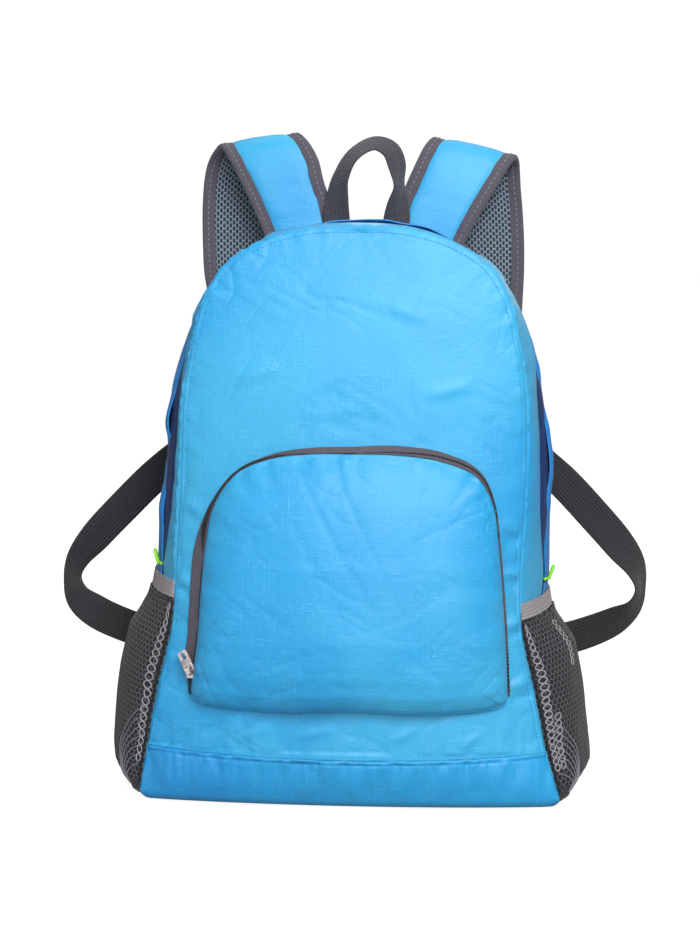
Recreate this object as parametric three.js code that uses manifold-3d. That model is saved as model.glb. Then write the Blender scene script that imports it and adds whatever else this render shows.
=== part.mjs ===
// Packable backpack, standing upright on its base.
// Millimetres, +Z up, +X to the right, the front faces -Y.
// The origin is on the floor, under the middle of the whole part.

import * as THREE from 'three';
import { mergeVertices } from 'three/addons/utils/BufferGeometryUtils.js';
import Module from 'manifold-3d';

const wasm = await Module();
wasm.setup();

// Cloth and clearances
const CLOTH = 1.4;                 // ripstop wall
const MESH_CLOTH = 1.6;            // knitted side pocket wall
const TAPE = 1.2;                  // zip tape
const SEAM_GAP = 0.4;              // between two walls that meet in a seam
const LAY_GAP = 0.4;               // between a piece and the wall that it lies on

// Body
const BODY_WIDTH = 242;            // across the front seam, half way up
const BODY_HEIGHT = 405;           // floor to the top of the front seam
const BASE_DEPTH = 110;            // front seam to back seam at the base
const TOP_DEPTH = 98;              // the same at the top
const BACK_Y = 60;                 // plane of the back seam
const FRONT_CROWN = 27;            // how far the front bulges past its seam
const BACK_CROWN = 5;              // how far the back bulges past its seam
const GUSSET_BULGE = 17;           // how far the gusset bulges past its seams
const BASE_ROUND = 2.5;            // bulge of the turned-up edge of the base
const SEAM_SAG = 3.5;              // how far the bottom seam hangs in the middle

// Main zip
const SLOT_START = 0.30;           // share of the gusset's depth where the flap ends
const SLOT_WIDTH = 7;              // open slot between the flap and the back gusset
const FLAP_RISE = 2.2;             // how far the flap's free edge stands off
const FLAP_WAVE = 1.0;             // height of the waves in the free edge
const ZIP_TUCK = 6;                // how far the zip tape runs under each strip
const MAIN_SLIDER = { width: 5, length: 11, height: 3.4, corner: 1.2 };
const MAIN_SLIDER_ROW = 0.12;      // rows of the arch past the zip's end
const ZIP_PULL = { width: 8, length: 13, thickness: 1.6, corner: 2, hang: 2.2 };

// Side pockets
const POCKET_BAG = 18.5;           // how far a mesh pocket stands off the side
const MOUTH_DROP_LEFT = 7;         // how far the left pocket's mouth is below the zip's end
const MOUTH_DROP_RIGHT = 18;       // the same at the right
const BINDING_HEIGHT = 12;         // elastic binding of a mouth
const BINDING_THICK = 2.2;

// Front pocket
const POCKET_WIDTH = 213;
const POCKET_LOW = 72;             // height of its lower edge
const POCKET_HIGH = 251;           // height of its top
const POCKET_SHIFT = 1;            // it sits a little to the right
const POCKET_CROWN = 19;           // how far it bulges past the front panel
const POCKET_RISE = 4;             // how far its zipped edge stands off the front
const ZIP_BAND = 7.5;              // width of its zip band at the left foot
const ZIP_BAND_END = 4.5;          // and at the right foot
const COIL_RISE = 1.0;             // height of the coil on the band

// Pocket slider and pull tab
const SLIDER = { wide: 8, narrow: 6, length: 10, plate: 1.4, corner: 1.5 };
const BRIDGE = { length: 6, height: 3.2, wire: 1.1, width: 1.4, sunk: 0.7, corner: 1.1 };
const PULL = { width: 7.4, length: 16, thickness: 1.0, bar: 1.0, corner: 1.2 };
const PULL_WINDOW = { length: 3.5, side: 1.1, corner: 0.3 };
const PULL_SLOT = { width: 2.6, length: 5, from: 9, corner: 0.8 };
const PULL_TURN = THREE.MathUtils.degToRad(30);
const SLIDER_HEIGHT = 97;          // height of the slider over the floor

// Shoulder straps
const STRAP_WIDTH = 61;
const STRAP_THICK = 8;
const STRAP_EDGE = 2.4;            // thickness of the strap's edge inside its binding
const BIND_WIDTH = 10;
const BIND_THICK = 5;
const STRAP_OUT = 44;              // middle of a strap at its root, from the middle
const STRAP_REACH = 67;            // how far a strap's end lies outside its root
const STRAP_BEHIND = 46;           // how far a strap's arch reaches behind the back seam

// Webbing, buckles and handle
const WEB_WIDTH = 25;
const WEB_THICK = 1.8;
const WEB_REACH = 214;             // middle of the webbing at its widest, from the middle
const WEB_BEHIND = 30;             // how far the webbing starts behind the back seam
const WEB_SHIFT = -3;              // the loops hang a little to the left
const HANDLE_WIDTH = 19;
const HANDLE_THICK = 2;
const HANDLE_SPAN = 44;            // between the middles of the handle's legs
const HANDLE_HEIGHT = 64;          // over the top of the bag
const HANDLE_SHIFT = 3;            // the handle sits a little to the right
const HANDLE_LEAN = 9;             // how far its crown leans forward
const HANDLE_TIP = 5;              // how far its crown leans to the right
const LOCK = { width: 33, length: 17, thickness: 4.4, corner: 2 };

// The soft bag leans a little to the right: sideways share of the height
const LEAN = 0.0125;

// Colours
const BLUE = { color: 0x3aa9e8, roughness: 0.6 };
const DEEP_BLUE = { color: 0x1f6fb8, roughness: 0.65 };
const GREY = { color: 0x5b5560, roughness: 0.85 };
const MESH_GREY = { color: 0x3c3f48, roughness: 0.9 };
const BLACK = { color: 0x26262a, roughness: 0.85 };
const GREEN = { color: 0x86d83c, roughness: 0.55 };
const METAL = { color: 0xc9c2c4, roughness: 0.3, metalness: 1 };

// One row for each height of the arch, from the base to the top of the middle.
// across and up are shares of half the body's width and of its height, for the
// front seam and the back seam. bulge is a share of GUSSET_BULGE. steps is the
// number of facets from the row before.
const ARCH = [
  { across: 1.215, up: 0.015, backAcross: 1.240, backUp: 0.015, bulge: 0.40, steps: 0 },
  { across: 1.160, up: 0.101, backAcross: 1.225, backUp: 0.101, bulge: 0.50, steps: 2 },
  { across: 1.105, up: 0.200, backAcross: 1.190, backUp: 0.200, bulge: 0.67, steps: 2 },
  { across: 1.035, up: 0.300, backAcross: 1.150, backUp: 0.305, bulge: 0.85, steps: 2 },
  { across: 1.002, up: 0.405, backAcross: 1.110, backUp: 0.410, bulge: 1.00, steps: 2 },
  { across: 0.998, up: 0.570, backAcross: 1.065, backUp: 0.580, bulge: 0.84, steps: 3 },
  { across: 0.988, up: 0.710, backAcross: 1.010, backUp: 0.725, bulge: 0.66, steps: 2 },
  { across: 0.950, up: 0.790, backAcross: 0.965, backUp: 0.800, bulge: 0.54, steps: 2 },
  { across: 0.868, up: 0.882, backAcross: 0.885, backUp: 0.890, bulge: 0.44, steps: 2 },
  { across: 0.735, up: 0.946, backAcross: 0.750, backUp: 0.953, bulge: 0.42, steps: 2 },
  { across: 0.530, up: 0.983, backAcross: 0.540, backUp: 0.990, bulge: 0.42, steps: 2 },
  { across: 0.280, up: 0.997, backAcross: 0.285, backUp: 1.004, bulge: 0.42, steps: 1 },
  { across: 0.000, up: 1.000, backAcross: 0.000, backUp: 1.007, bulge: 0.42, steps: 1 },
];
const SEAM_ROW = 1;                // row of the bottom seam
const ZIP_ROW = 4;                 // row where the main zip ends
const SHOULDER_ROW = 8;            // row where the side turns into the top

// Crown of the front panel up the body, as a share of FRONT_CROWN.
const CROWN = [
  { up: 0.0, share: 0.80 },
  { up: 0.101, share: 0.88 },
  { up: 0.30, share: 1.00 },
  { up: 0.50, share: 0.95 },
  { up: 0.75, share: 0.72 },
  { up: 0.90, share: 0.42 },
  { up: 1.0, share: 0.0 },
];

// Outline of the front pocket. across is a share of half its width, up of its height.
const POCKET_SIDE = [
  { across: 1.000, up: 0.10 },
  { across: 0.985, up: 0.28 },
  { across: 0.955, up: 0.45 },
  { across: 0.905, up: 0.65 },
  { across: 0.840, up: 0.80 },
  { across: 0.715, up: 0.905 },
  { across: 0.530, up: 0.965 },
  { across: 0.280, up: 0.995 },
  { across: 0.000, up: 1.000 },
];
const POCKET_CORNER = 4;           // row where the pocket's side turns into its top
const POCKET_FOOT = [
  { across: 1.000, up: 0.10 },
  { across: 0.975, up: 0.055 },
  { across: 0.880, up: 0.025 },
  { across: 0.500, up: 0.000 },
  { across: 0.000, up: 0.005 },
];

// Route of a shoulder strap. out is a share of STRAP_REACH, behind of STRAP_BEHIND,
// up of the body's height, width of STRAP_WIDTH, padding of its thickness. tilt is
// how far the outer edge hangs below the inner edge, in degrees.
const STRAP_ROUTE = [
  { out: -0.04, behind: 0.125, up: 0.928, width: 1.00, padding: 0.50, tilt: 14 },
  { out: -0.01, behind: 0.150, up: 0.965, width: 1.00, padding: 0.60, tilt: 16 },
  { out: 0.03, behind: 0.190, up: 1.000, width: 1.00, padding: 0.85, tilt: 18 },
  { out: 0.13, behind: 0.200, up: 1.060, width: 1.00, padding: 1.00, tilt: 19 },
  { out: 0.23, behind: 0.250, up: 1.113, width: 1.00, padding: 1.00, tilt: 16 },
  { out: 0.34, behind: 0.400, up: 1.148, width: 1.00, padding: 1.00, tilt: 11 },
  { out: 0.48, behind: 0.660, up: 1.148, width: 1.00, padding: 1.00, tilt: 7 },
  { out: 0.61, behind: 0.860, up: 1.110, width: 1.00, padding: 1.00, tilt: 3 },
  { out: 0.68, behind: 0.970, up: 1.045, width: 1.00, padding: 1.00, tilt: 0 },
  { out: 0.71, behind: 1.000, up: 0.950, width: 0.97, padding: 1.00, tilt: 0 },
  { out: 0.72, behind: 0.950, up: 0.865, width: 0.90, padding: 1.00, tilt: 0 },
  { out: 0.75, behind: 0.850, up: 0.780, width: 0.80, padding: 0.90, tilt: 0 },
  { out: 0.84, behind: 0.760, up: 0.710, width: 0.70, padding: 0.75, tilt: 0 },
  { out: 1.00, behind: 0.690, up: 0.655, width: 0.62, padding: 0.55, tilt: 0 },
];

// Facets along a strap: from and to are shares of its rows.
const STRAP_FACETS = [
  { from: 0.00, to: 0.28, steps: 5 },
  { from: 0.28, to: 0.62, steps: 13 },
  { from: 0.62, to: 1.00, steps: 7 },
];

// Route of a webbing loop past the buckle to the back panel. across is a share of
// WEB_REACH, behind of WEB_BEHIND and up of the body's height. face turns the flat
// side: 0 faces the front, 90 faces up or down.
const WEB_ROUTE = [
  { across: 0.640, behind: 0.800, up: 0.573, face: 2 },
  { across: 0.725, behind: 0.660, up: 0.535, face: 4 },
  { across: 0.825, behind: 0.500, up: 0.481, face: 8 },
  { across: 0.920, behind: 0.330, up: 0.426, face: 20 },
  { across: 0.982, behind: 0.230, up: 0.382, face: 52 },
  { across: 1.000, behind: 0.200, up: 0.345, face: 72 },
  { across: 0.980, behind: 0.200, up: 0.311, face: 55 },
  { across: 0.915, behind: 0.220, up: 0.283, face: 22 },
  { across: 0.820, behind: 0.220, up: 0.260, face: 8 },
  { across: 0.720, behind: 0.190, up: 0.244, face: 4 },
  { across: 0.640, behind: 0.120, up: 0.234, face: 0 },
  { across: 0.560, behind: 0.096, up: 0.225, face: 0 },
];
const WEB_STEPS = 32;

// Route of half the carry handle, from its foot to its crown. across is a share of
// half the span, up of the height, lean of HANDLE_LEAN, twist in degrees from facing
// the front.
const HANDLE_ROUTE = [
  { across: 1.00, up: -0.14, lean: 0.0, twist: 0 },
  { across: 1.00, up: 0.06, lean: 0.1, twist: 6 },
  { across: 0.99, up: 0.32, lean: 0.5, twist: 34 },
  { across: 0.88, up: 0.62, lean: 0.9, twist: 60 },
  { across: 0.54, up: 0.90, lean: 1.0, twist: 64 },
  { across: 0.00, up: 1.00, lean: 1.0, twist: 64 },
];
const HANDLE_STEPS = 24;

const half = BODY_WIDTH / 2;
const bag = new THREE.Group();

function vec(x, y, z) {
  return new THREE.Vector3(x, y, z);
}

function mix(a, b, share) {
  return a + (b - a) * share;
}

// Reads a table column at a place between its rows, with straight runs between them.
function look(table, key, value, column) {
  for (let i = 1; i < table.length; i += 1) {
    const a = table[i - 1];
    const b = table[i];
    if (value <= b[key] || i === table.length - 1) {
      const share = THREE.MathUtils.clamp((value - a[key]) / (b[key] - a[key]), 0, 1);
      return mix(a[column], b[column], share);
    }
  }
  return table[0][column];
}

// Adds one named mesh to the bag, leaning as the soft bag does.
const leaning = new THREE.Matrix4().makeShear(0, 0, 0, 0, LEAN, 0);

function addPiece(name, geometry, finish) {
  geometry.applyMatrix4(leaning);
  const mesh = new THREE.Mesh(geometry, new THREE.MeshStandardMaterial(finish));
  mesh.name = name;
  bag.add(mesh);
  return mesh;
}

// Makes a geometry from corners and triangles, turned so that its faces point out.
function closedGeometry(corners, triangles) {
  let volume = 0;
  for (const [a, b, c] of triangles) {
    volume += corners[a].dot(corners[b].clone().cross(corners[c])) / 6;
  }
  const geometry = new THREE.BufferGeometry();
  geometry.setFromPoints(corners);
  geometry.setIndex(triangles.flatMap(([a, b, c]) => (volume < 0 ? [a, c, b] : [a, b, c])));
  geometry.computeVertexNormals();
  return geometry;
}

// A wall between an outer and an inner grid of points of the same size.
function wallGeometry(outer, inner) {
  const rows = outer.length;
  const cols = outer[0].length;
  const corners = [...outer.flat(), ...inner.flat()];
  const triangles = [];
  const out = (i, j) => i * cols + j;
  const inn = (i, j) => rows * cols + i * cols + j;
  const quad = (a, b, c, d) => triangles.push([a, b, c], [a, c, d]);
  for (let i = 0; i < rows - 1; i += 1) {
    for (let j = 0; j < cols - 1; j += 1) {
      quad(out(i, j), out(i, j + 1), out(i + 1, j + 1), out(i + 1, j));
      quad(inn(i, j), inn(i + 1, j), inn(i + 1, j + 1), inn(i, j + 1));
    }
  }
  for (let i = 0; i < rows - 1; i += 1) {
    quad(out(i, 0), out(i + 1, 0), inn(i + 1, 0), inn(i, 0));
    quad(out(i, cols - 1), inn(i, cols - 1), inn(i + 1, cols - 1), out(i + 1, cols - 1));
  }
  for (let j = 0; j < cols - 1; j += 1) {
    quad(out(0, j), inn(0, j), inn(0, j + 1), out(0, j + 1));
    quad(out(rows - 1, j), out(rows - 1, j + 1), inn(rows - 1, j + 1), inn(rows - 1, j));
  }
  return closedGeometry(corners, triangles);
}

// A rod through rings of the same number of points, closed at both ends.
function rodGeometry(rings) {
  const sides = rings[0].length;
  const corners = rings.flat();
  const triangles = [];
  for (let i = 0; i < rings.length - 1; i += 1) {
    for (let j = 0; j < sides; j += 1) {
      const k = (j + 1) % sides;
      const a = i * sides;
      const b = (i + 1) * sides;
      triangles.push([a + j, a + k, b + k], [a + j, b + k, b + j]);
    }
  }
  const caps = THREE.ShapeUtils.triangulateShape(flatten(rings[0]), []);
  const last = (rings.length - 1) * sides;
  for (const [a, b, c] of caps) {
    triangles.push([a, c, b]);
    triangles.push([last + a, last + b, last + c]);
  }
  return closedGeometry(corners, triangles);
}

// Flat coordinates of a ring's points in the ring's own plane, wound anticlockwise.
function flatten(ring) {
  const origin = ring[0];
  const along = ring[Math.floor(ring.length / 2)].clone().sub(origin).normalize();
  const normal = vec(0, 0, 0);
  ring.forEach((p, i) => {
    const next = ring[(i + 1) % ring.length].clone().sub(origin);
    normal.add(p.clone().sub(origin).cross(next));
  });
  const up = normal.normalize().cross(along);
  return ring.map((p) => {
    const from = p.clone().sub(origin);
    return new THREE.Vector2(from.dot(along), from.dot(up));
  });
}

// Seams of the body. u runs over the rows of the arch, from the left base (0) over
// the top to the right base (2 * TOP).
const TOP = ARCH.length - 1;

function archRow(index) {
  const mirrored = index > TOP;
  const row = ARCH[mirrored ? 2 * TOP - index : index];
  return { row, side: mirrored ? 1 : -1 };
}

function seamDepth(z) {
  return mix(BASE_DEPTH, TOP_DEPTH, z / BODY_HEIGHT);
}

function seamCurve(acrossKey, upKey) {
  const points = [];
  for (let i = 0; i <= 2 * TOP; i += 1) {
    const { row, side } = archRow(i);
    points.push(vec(side * row[acrossKey] * half, 0, row[upKey] * BODY_HEIGHT));
  }
  return new THREE.CatmullRomCurve3(points, false, 'centripetal');
}

const frontCurve = seamCurve('across', 'up');
const backCurve = seamCurve('backAcross', 'backUp');

function frontSeam(u) {
  const p = frontCurve.getPoint(u / (2 * TOP));
  return vec(p.x, BACK_Y - seamDepth(p.z), p.z);
}

function backSeam(u) {
  const p = backCurve.getPoint(u / (2 * TOP));
  return vec(p.x, BACK_Y, p.z);
}

function outward(u) {
  const step = 0.02;
  const a = frontSeam(Math.max(0, u - step));
  const b = frontSeam(Math.min(2 * TOP, u + step));
  return vec(-(b.z - a.z), 0, b.x - a.x).normalize();
}

function archBulge(u) {
  const low = Math.min(2 * TOP - 1, Math.floor(u));
  const a = archRow(low).row.bulge;
  const b = archRow(low + 1).row.bulge;
  return mix(a, b, u - low) * GUSSET_BULGE;
}

const GUSSET_ROUND = 0.8;          // roundness of the gusset's bulge

// A point of the gusset: t runs from the front seam (0) to the back seam (1).
function gusset(u, t) {
  const p = frontSeam(u).lerp(backSeam(u), t);
  const swell = Math.sin(Math.PI * t) ** GUSSET_ROUND * archBulge(u);
  return p.addScaledVector(outward(u), swell);
}

// Stations along the arch between two rows.
function stations(from, to) {
  const list = [];
  for (let i = from; i < to; i += 1) {
    const mirrored = i >= TOP;
    const steps = ARCH[mirrored ? 2 * TOP - i : i + 1].steps;
    for (let k = 0; k < steps; k += 1) {
      list.push(i + k / steps);
    }
  }
  list.push(to);
  return list;
}

// Half the width of the front seam at a height.
const SEAM_SAMPLES = 400;
const seamSamples = [];
for (let i = 0; i <= SEAM_SAMPLES; i += 1) {
  const p = frontCurve.getPoint(0.5 * i / SEAM_SAMPLES);
  seamSamples.push({ z: p.z, width: -p.x });
}

function seamWidth(z) {
  return look(seamSamples, 'z', z, 'width');
}

// Depth of the front panel's outer face at a place.
const CROWN_POWER = 0.75;

function frontY(x, z) {
  const width = Math.max(1, seamWidth(z));
  const share = Math.min(1, Math.abs(x) / width);
  const crown = look(CROWN, 'up', z / BODY_HEIGHT, 'share') * FRONT_CROWN;
  return BACK_Y - seamDepth(z) - crown * (1 - share * share) ** CROWN_POWER;
}

// Direction from a point of the body's skin to its inside, shared by all walls, so
// that two walls that meet in a seam have parallel edges: towards a flat core.
const CORE_SHARE = { x: 0.45, high: 0.76 };
const CORE = { x: half * CORE_SHARE.x, y: 8, low: 70, high: BODY_HEIGHT * CORE_SHARE.high };

function inside(p) {
  const x = THREE.MathUtils.clamp(p.x, -CORE.x, CORE.x);
  const z = THREE.MathUtils.clamp(p.z, CORE.low, CORE.high);
  return vec(x - p.x, CORE.y - p.y, z - p.z).normalize();
}

// Moves a grid of skin points inwards by a cloth thickness.
const LEAST_SLANT = 0.6;
const POCKET_SLANT = 0.85;

function thicken(grid, thickness, direction, least = LEAST_SLANT) {
  const rows = grid.length;
  const cols = grid[0].length;
  return grid.map((line, i) => line.map((p, j) => {
    const a = grid[Math.min(rows - 1, i + 1)][j].clone().sub(grid[Math.max(0, i - 1)][j]);
    const b = line[Math.min(cols - 1, j + 1)].clone().sub(line[Math.max(0, j - 1)]);
    const normal = a.cross(b).normalize();
    const way = direction(p);
    const slant = Math.max(least, Math.abs(normal.dot(way)));
    return p.clone().addScaledVector(way, thickness / slant);
  }));
}

// A grid that fills four edges: bottom and top run left to right, sides run up.
function fill(bottom, top, left, right) {
  const rows = left.length - 1;
  const cols = bottom.length - 1;
  return left.map((side, i) => bottom.map((foot, j) => {
    const u = j / cols;
    const v = i / rows;
    const p = foot.clone().multiplyScalar(1 - v).addScaledVector(top[j], v);
    p.addScaledVector(side, 1 - u).addScaledVector(right[i], u);
    p.addScaledVector(bottom[0], -(1 - u) * (1 - v)).addScaledVector(bottom[cols], -u * (1 - v));
    return p.addScaledVector(top[0], -(1 - u) * v).addScaledVector(top[cols], -u * v);
  }));
}

// Draws an edge of a wall back from its seam by half the seam gap.
function drawIn(points, towards) {
  return points.map((p) => p.clone().addScaledVector(towards(p), SEAM_GAP / 2));
}

const sideStations = stations(SEAM_ROW, SHOULDER_ROW);
const topStations = stations(SHOULDER_ROW, 2 * TOP - SHOULDER_ROW);
const rightStations = stations(2 * TOP - SHOULDER_ROW, 2 * TOP - SEAM_ROW);
const topColumns = topStations.length - 1;

// Edge points of the bottom seam, left to right, on the front's crown.
function bottomSeam() {
  const corner = frontSeam(SEAM_ROW);
  const points = [];
  for (let j = 0; j <= topColumns; j += 1) {
    const share = j / topColumns * 2 - 1;
    const x = -corner.x * share;
    const z = corner.z - SEAM_SAG * (1 - share * share);
    points.push(vec(x, frontY(x, z), z));
  }
  return points;
}

function inPlane(p) {
  const middle = vec(THREE.MathUtils.clamp(p.x, -CORE.x, CORE.x), 0,
    THREE.MathUtils.clamp(p.z, CORE.low, CORE.high));
  return middle.sub(vec(p.x, 0, p.z)).normalize();
}

function addFrontPanel() {
  const bottom = drawIn(bottomSeam(), () => vec(0, 0, 1));
  const left = drawIn(sideStations.map(frontSeam), inPlane);
  const top = drawIn(topStations.map(frontSeam), inPlane);
  const right = drawIn([...rightStations].reverse().map(frontSeam), inPlane);
  bottom[0] = left[0];
  bottom[topColumns] = right[0];
  const outer = fill(bottom, top, left, right).map((line) => line.map((p) => {
    return vec(p.x, frontY(p.x, p.z), p.z);
  }));
  addPiece('front_panel', wallGeometry(outer, thicken(outer, CLOTH, inside)), BLUE);
}

// Strips of the gusset between two shares of its depth.
function strip(us, ts, lift = () => 0) {
  return us.map((u) => ts.map((t) => gusset(u, t).addScaledVector(outward(u), lift(u, t))));
}

function shares(from, to, steps) {
  const list = [];
  for (let k = 0; k <= steps; k += 1) {
    list.push(mix(from, to, k / steps));
  }
  return list;
}

const halfGapShare = SEAM_GAP / 2 / BASE_DEPTH;
const slotEnd = SLOT_START + SLOT_WIDTH / BASE_DEPTH;
const zipStations = stations(ZIP_ROW, 2 * TOP - ZIP_ROW);

function trimEnds(us, cut) {
  const list = [...us];
  list[0] += cut;
  list[list.length - 1] -= cut;
  return list;
}

// Share of a row's height that half a seam gap takes.
function gapShare(row) {
  return SEAM_GAP / 2 / (frontSeam(row + 1).z - frontSeam(row).z);
}

const WAVES = 2.6;                 // how fast the waves follow each other
const FREE_FROM = 0.4;             // share of the flap that stays down
const ZIP_DEPTH = CLOTH + LAY_GAP + 0.5;

function addGussets() {
  const us = trimEnds(zipStations, gapShare(ZIP_ROW));
  const first = us[0];
  const last = us[us.length - 1];
  const flapLift = (u, t) => {
    const free = Math.max(0, (t / SLOT_START - FREE_FROM) / (1 - FREE_FROM));
    const ends = Math.min(1, (u - first) * 2, (last - u) * 2);
    const wave = FLAP_RISE + FLAP_WAVE * Math.sin(u * WAVES);
    return Math.max(0, ends) * free * free * wave;
  };
  const flap = strip(us, shares(halfGapShare, SLOT_START, 4), flapLift);
  addPiece('front_gusset', wallGeometry(flap, thicken(flap, CLOTH, inside)), BLUE);
  const back = strip(us, shares(slotEnd, 1 - halfGapShare, 4));
  addPiece('back_gusset', wallGeometry(back, thicken(back, CLOTH, inside)), DEEP_BLUE);
  const tuck = ZIP_TUCK / BASE_DEPTH;
  const tapeTs = shares(SLOT_START - tuck, slotEnd + tuck, 2);
  const zip = strip(us, tapeTs).map((line) => line.map((p) => {
    return p.clone().addScaledVector(inside(p), ZIP_DEPTH);
  }));
  addPiece('main_zip_tape', wallGeometry(zip, thicken(zip, TAPE, inside)), DEEP_BLUE);
}

const SIDE_STEPS = 8;
const sideTs = shares(0, 1, SIDE_STEPS);

function sideRow(side, row) {
  return side < 0 ? row : 2 * TOP - row;
}

function sideUs(side, from, to) {
  return stations(from, to).map((u) => (side < 0 ? u : 2 * TOP - u));
}

function addSidePanel(side) {
  const us = sideUs(side, 0, ZIP_ROW);
  const last = us.length - 1;
  us[0] = sideRow(side, gapShare(0));
  us[last] = sideRow(side, ZIP_ROW - gapShare(ZIP_ROW - 1));
  const ts = [...sideTs];
  ts[0] = halfGapShare;
  ts[SIDE_STEPS] = 1 - halfGapShare;
  const outer = strip(us, ts);
  const name = side < 0 ? 'side_panel_left' : 'side_panel_right';
  addPiece(name, wallGeometry(outer, thicken(outer, CLOTH, inside)), BLUE);
}

function addBackPanel() {
  const us = stations(0, SHOULDER_ROW);
  const left = drawIn(us.map(backSeam), inPlane);
  const right = drawIn(us.map((u) => backSeam(2 * TOP - u)), inPlane);
  const top = drawIn(topStations.map(backSeam), inPlane);
  const bottom = shares(0, 1, topColumns).map((s) => left[0].clone().lerp(right[0], s));
  const grid = fill(bottom, top, left, right);
  const rows = grid.length - 1;
  const outer = grid.map((line, i) => line.map((p, j) => {
    const share = Math.sin(Math.PI * i / rows) * Math.sin(Math.PI * j / topColumns);
    return vec(p.x, BACK_Y + BACK_CROWN * share, p.z);
  }));
  addPiece('back_panel', wallGeometry(outer, thicken(outer, CLOTH, inside)), BLUE);
}

// The base: its front edge is turned up to the bottom seam.
const BASE_RIM = 0.09;             // share of the base that is rounded at each edge
const BASE_FOLD = 0.35;            // height left at the fold, as a share of the edge's

function addBottomPanel() {
  const bandUs = stations(0, SEAM_ROW).reverse();
  const edge = (side) => {
    const band = bandUs.map((u) => frontSeam(side < 0 ? u : 2 * TOP - u));
    const under = sideTs.slice(1).map((t) => gusset(side < 0 ? 0 : 2 * TOP, t));
    return [...band, ...under].map((p) => {
      return p.clone().addScaledVector(inPlane(p), SEAM_GAP / 2);
    });
  };
  const left = edge(-1);
  const right = edge(1);
  const last = left.length - 1;
  const front = bottomSeam().map((p) => vec(p.x, p.y, p.z - SEAM_GAP / 2));
  front[0] = left[0];
  front[topColumns] = right[0];
  const rear = shares(0, 1, topColumns).map((s) => left[last].clone().lerp(right[last], s));
  const bandRows = bandUs.length - 1;
  const outer = fill(front, rear, left, right).map((line, i) => line.map((p, j) => {
    const across = Math.min(j, topColumns - j) / topColumns;
    const along = Math.min(i, last - i) / last;
    const rim = THREE.MathUtils.clamp(across / BASE_RIM, 0, 1);
    const q = p.clone();
    if (i > 0 && i <= bandRows) {
      q.y -= BASE_ROUND * rim * Math.sin(Math.PI * i / (bandRows + 1));
    }
    if (i >= bandRows && along > 0 && across > 0) {
      q.z = i === bandRows ? p.z * BASE_FOLD : 0;
    }
    return q;
  }));
  addPiece('bottom_panel', wallGeometry(outer, thicken(outer, CLOTH, inside)), BLUE);
}

// Mesh side pockets and their bindings
const BAG_PROFILE = [
  { up: 0.0, share: 0.0 },
  { up: 0.06, share: 0.90 },
  { up: 0.16, share: 1.0 },
  { up: 0.50, share: 0.97 },
  { up: 0.70, share: 0.86 },
  { up: 0.88, share: 0.42 },
  { up: 1.0, share: 0.10 },
];
const BAG_ROWS = [0, 0.06, 0.16, 0.30, 0.45, 0.60, 0.72, 0.82, 0.91, 1.0];
const MESH_START = 0.02;           // share of the depth where the mesh starts
const MESH_END = 0.94;
const BAG_ROUND = 0.6;             // roundness of the pocket across the bag
const SEARCH_STEPS = 40;

// Row of the arch at a height, found on the left front seam.
function rowAt(z) {
  let low = 0;
  let high = TOP;
  for (let k = 0; k < SEARCH_STEPS; k += 1) {
    const middle = (low + high) / 2;
    if (frontSeam(middle).z < z) {
      low = middle;
    } else {
      high = middle;
    }
  }
  return low;
}

// A point of a mesh pocket: up runs from the bottom seam (0) to the mouth (1).
function bagPoint(side, mouth, up, t, lift) {
  const foot = frontSeam(0).z;
  const u = sideRow(side, rowAt(mix(foot, mouth, up)));
  const across = (t - MESH_START) / (MESH_END - MESH_START);
  const swell = Math.sin(Math.PI * THREE.MathUtils.clamp(across, 0, 1)) ** BAG_ROUND;
  const stand = look(BAG_PROFILE, 'up', up, 'share') * POCKET_BAG * swell;
  return gusset(u, t).addScaledVector(outward(u), stand + lift);
}

function sideways(side) {
  return () => vec(-side, 0, 0);
}

function addSidePocket(side, drop) {
  const label = side < 0 ? 'left' : 'right';
  const mouth = frontSeam(ZIP_ROW).z - drop;
  const ts = shares(MESH_START, MESH_END, SIDE_STEPS);
  const lift = LAY_GAP + MESH_CLOTH / POCKET_SLANT;
  const bandLift = LAY_GAP + BINDING_THICK / POCKET_SLANT;
  const reach = mouth - BINDING_HEIGHT - SEAM_GAP;
  const foot = frontSeam(0).z;
  const top = (reach - foot) / (mouth - foot);
  const outer = BAG_ROWS.map((up) => ts.map((t) => bagPoint(side, mouth, up * top, t, lift)));
  const inner = thicken(outer, MESH_CLOTH, sideways(side), POCKET_SLANT);
  addPiece(`mesh_pocket_${label}`, wallGeometry(outer, inner), MESH_GREY);
  const from = (mouth - BINDING_HEIGHT - foot) / (mouth - foot);
  const band = shares(from, 1, 2).map((up) => ts.map((t) => bagPoint(side, mouth, up, t, bandLift)));
  const bandInner = thicken(band, BINDING_THICK, sideways(side), POCKET_SLANT);
  addPiece(`pocket_binding_${label}`, wallGeometry(band, bandInner), GREY);
}

// Front pocket
const pocketHeight = POCKET_HIGH - POCKET_LOW;

function pocketPoint(row, side) {
  return vec(POCKET_SHIFT + side * row.across * POCKET_WIDTH / 2, 0, POCKET_LOW + row.up * pocketHeight);
}

const pocketRows = POCKET_SIDE.length - 1;
const pocketCurve = new THREE.CatmullRomCurve3([
  ...POCKET_SIDE.map((row) => pocketPoint(row, -1)),
  ...POCKET_SIDE.slice(0, pocketRows).reverse().map((row) => pocketPoint(row, 1)),
], false, 'centripetal');
const footCurve = new THREE.CatmullRomCurve3([
  ...POCKET_FOOT.map((row) => pocketPoint(row, -1)),
  ...POCKET_FOOT.slice(0, POCKET_FOOT.length - 1).reverse().map((row) => pocketPoint(row, 1)),
], false, 'centripetal');
const POCKET_SIDE_STEPS = 10;
const POCKET_TOP_STEPS = 12;

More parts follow.
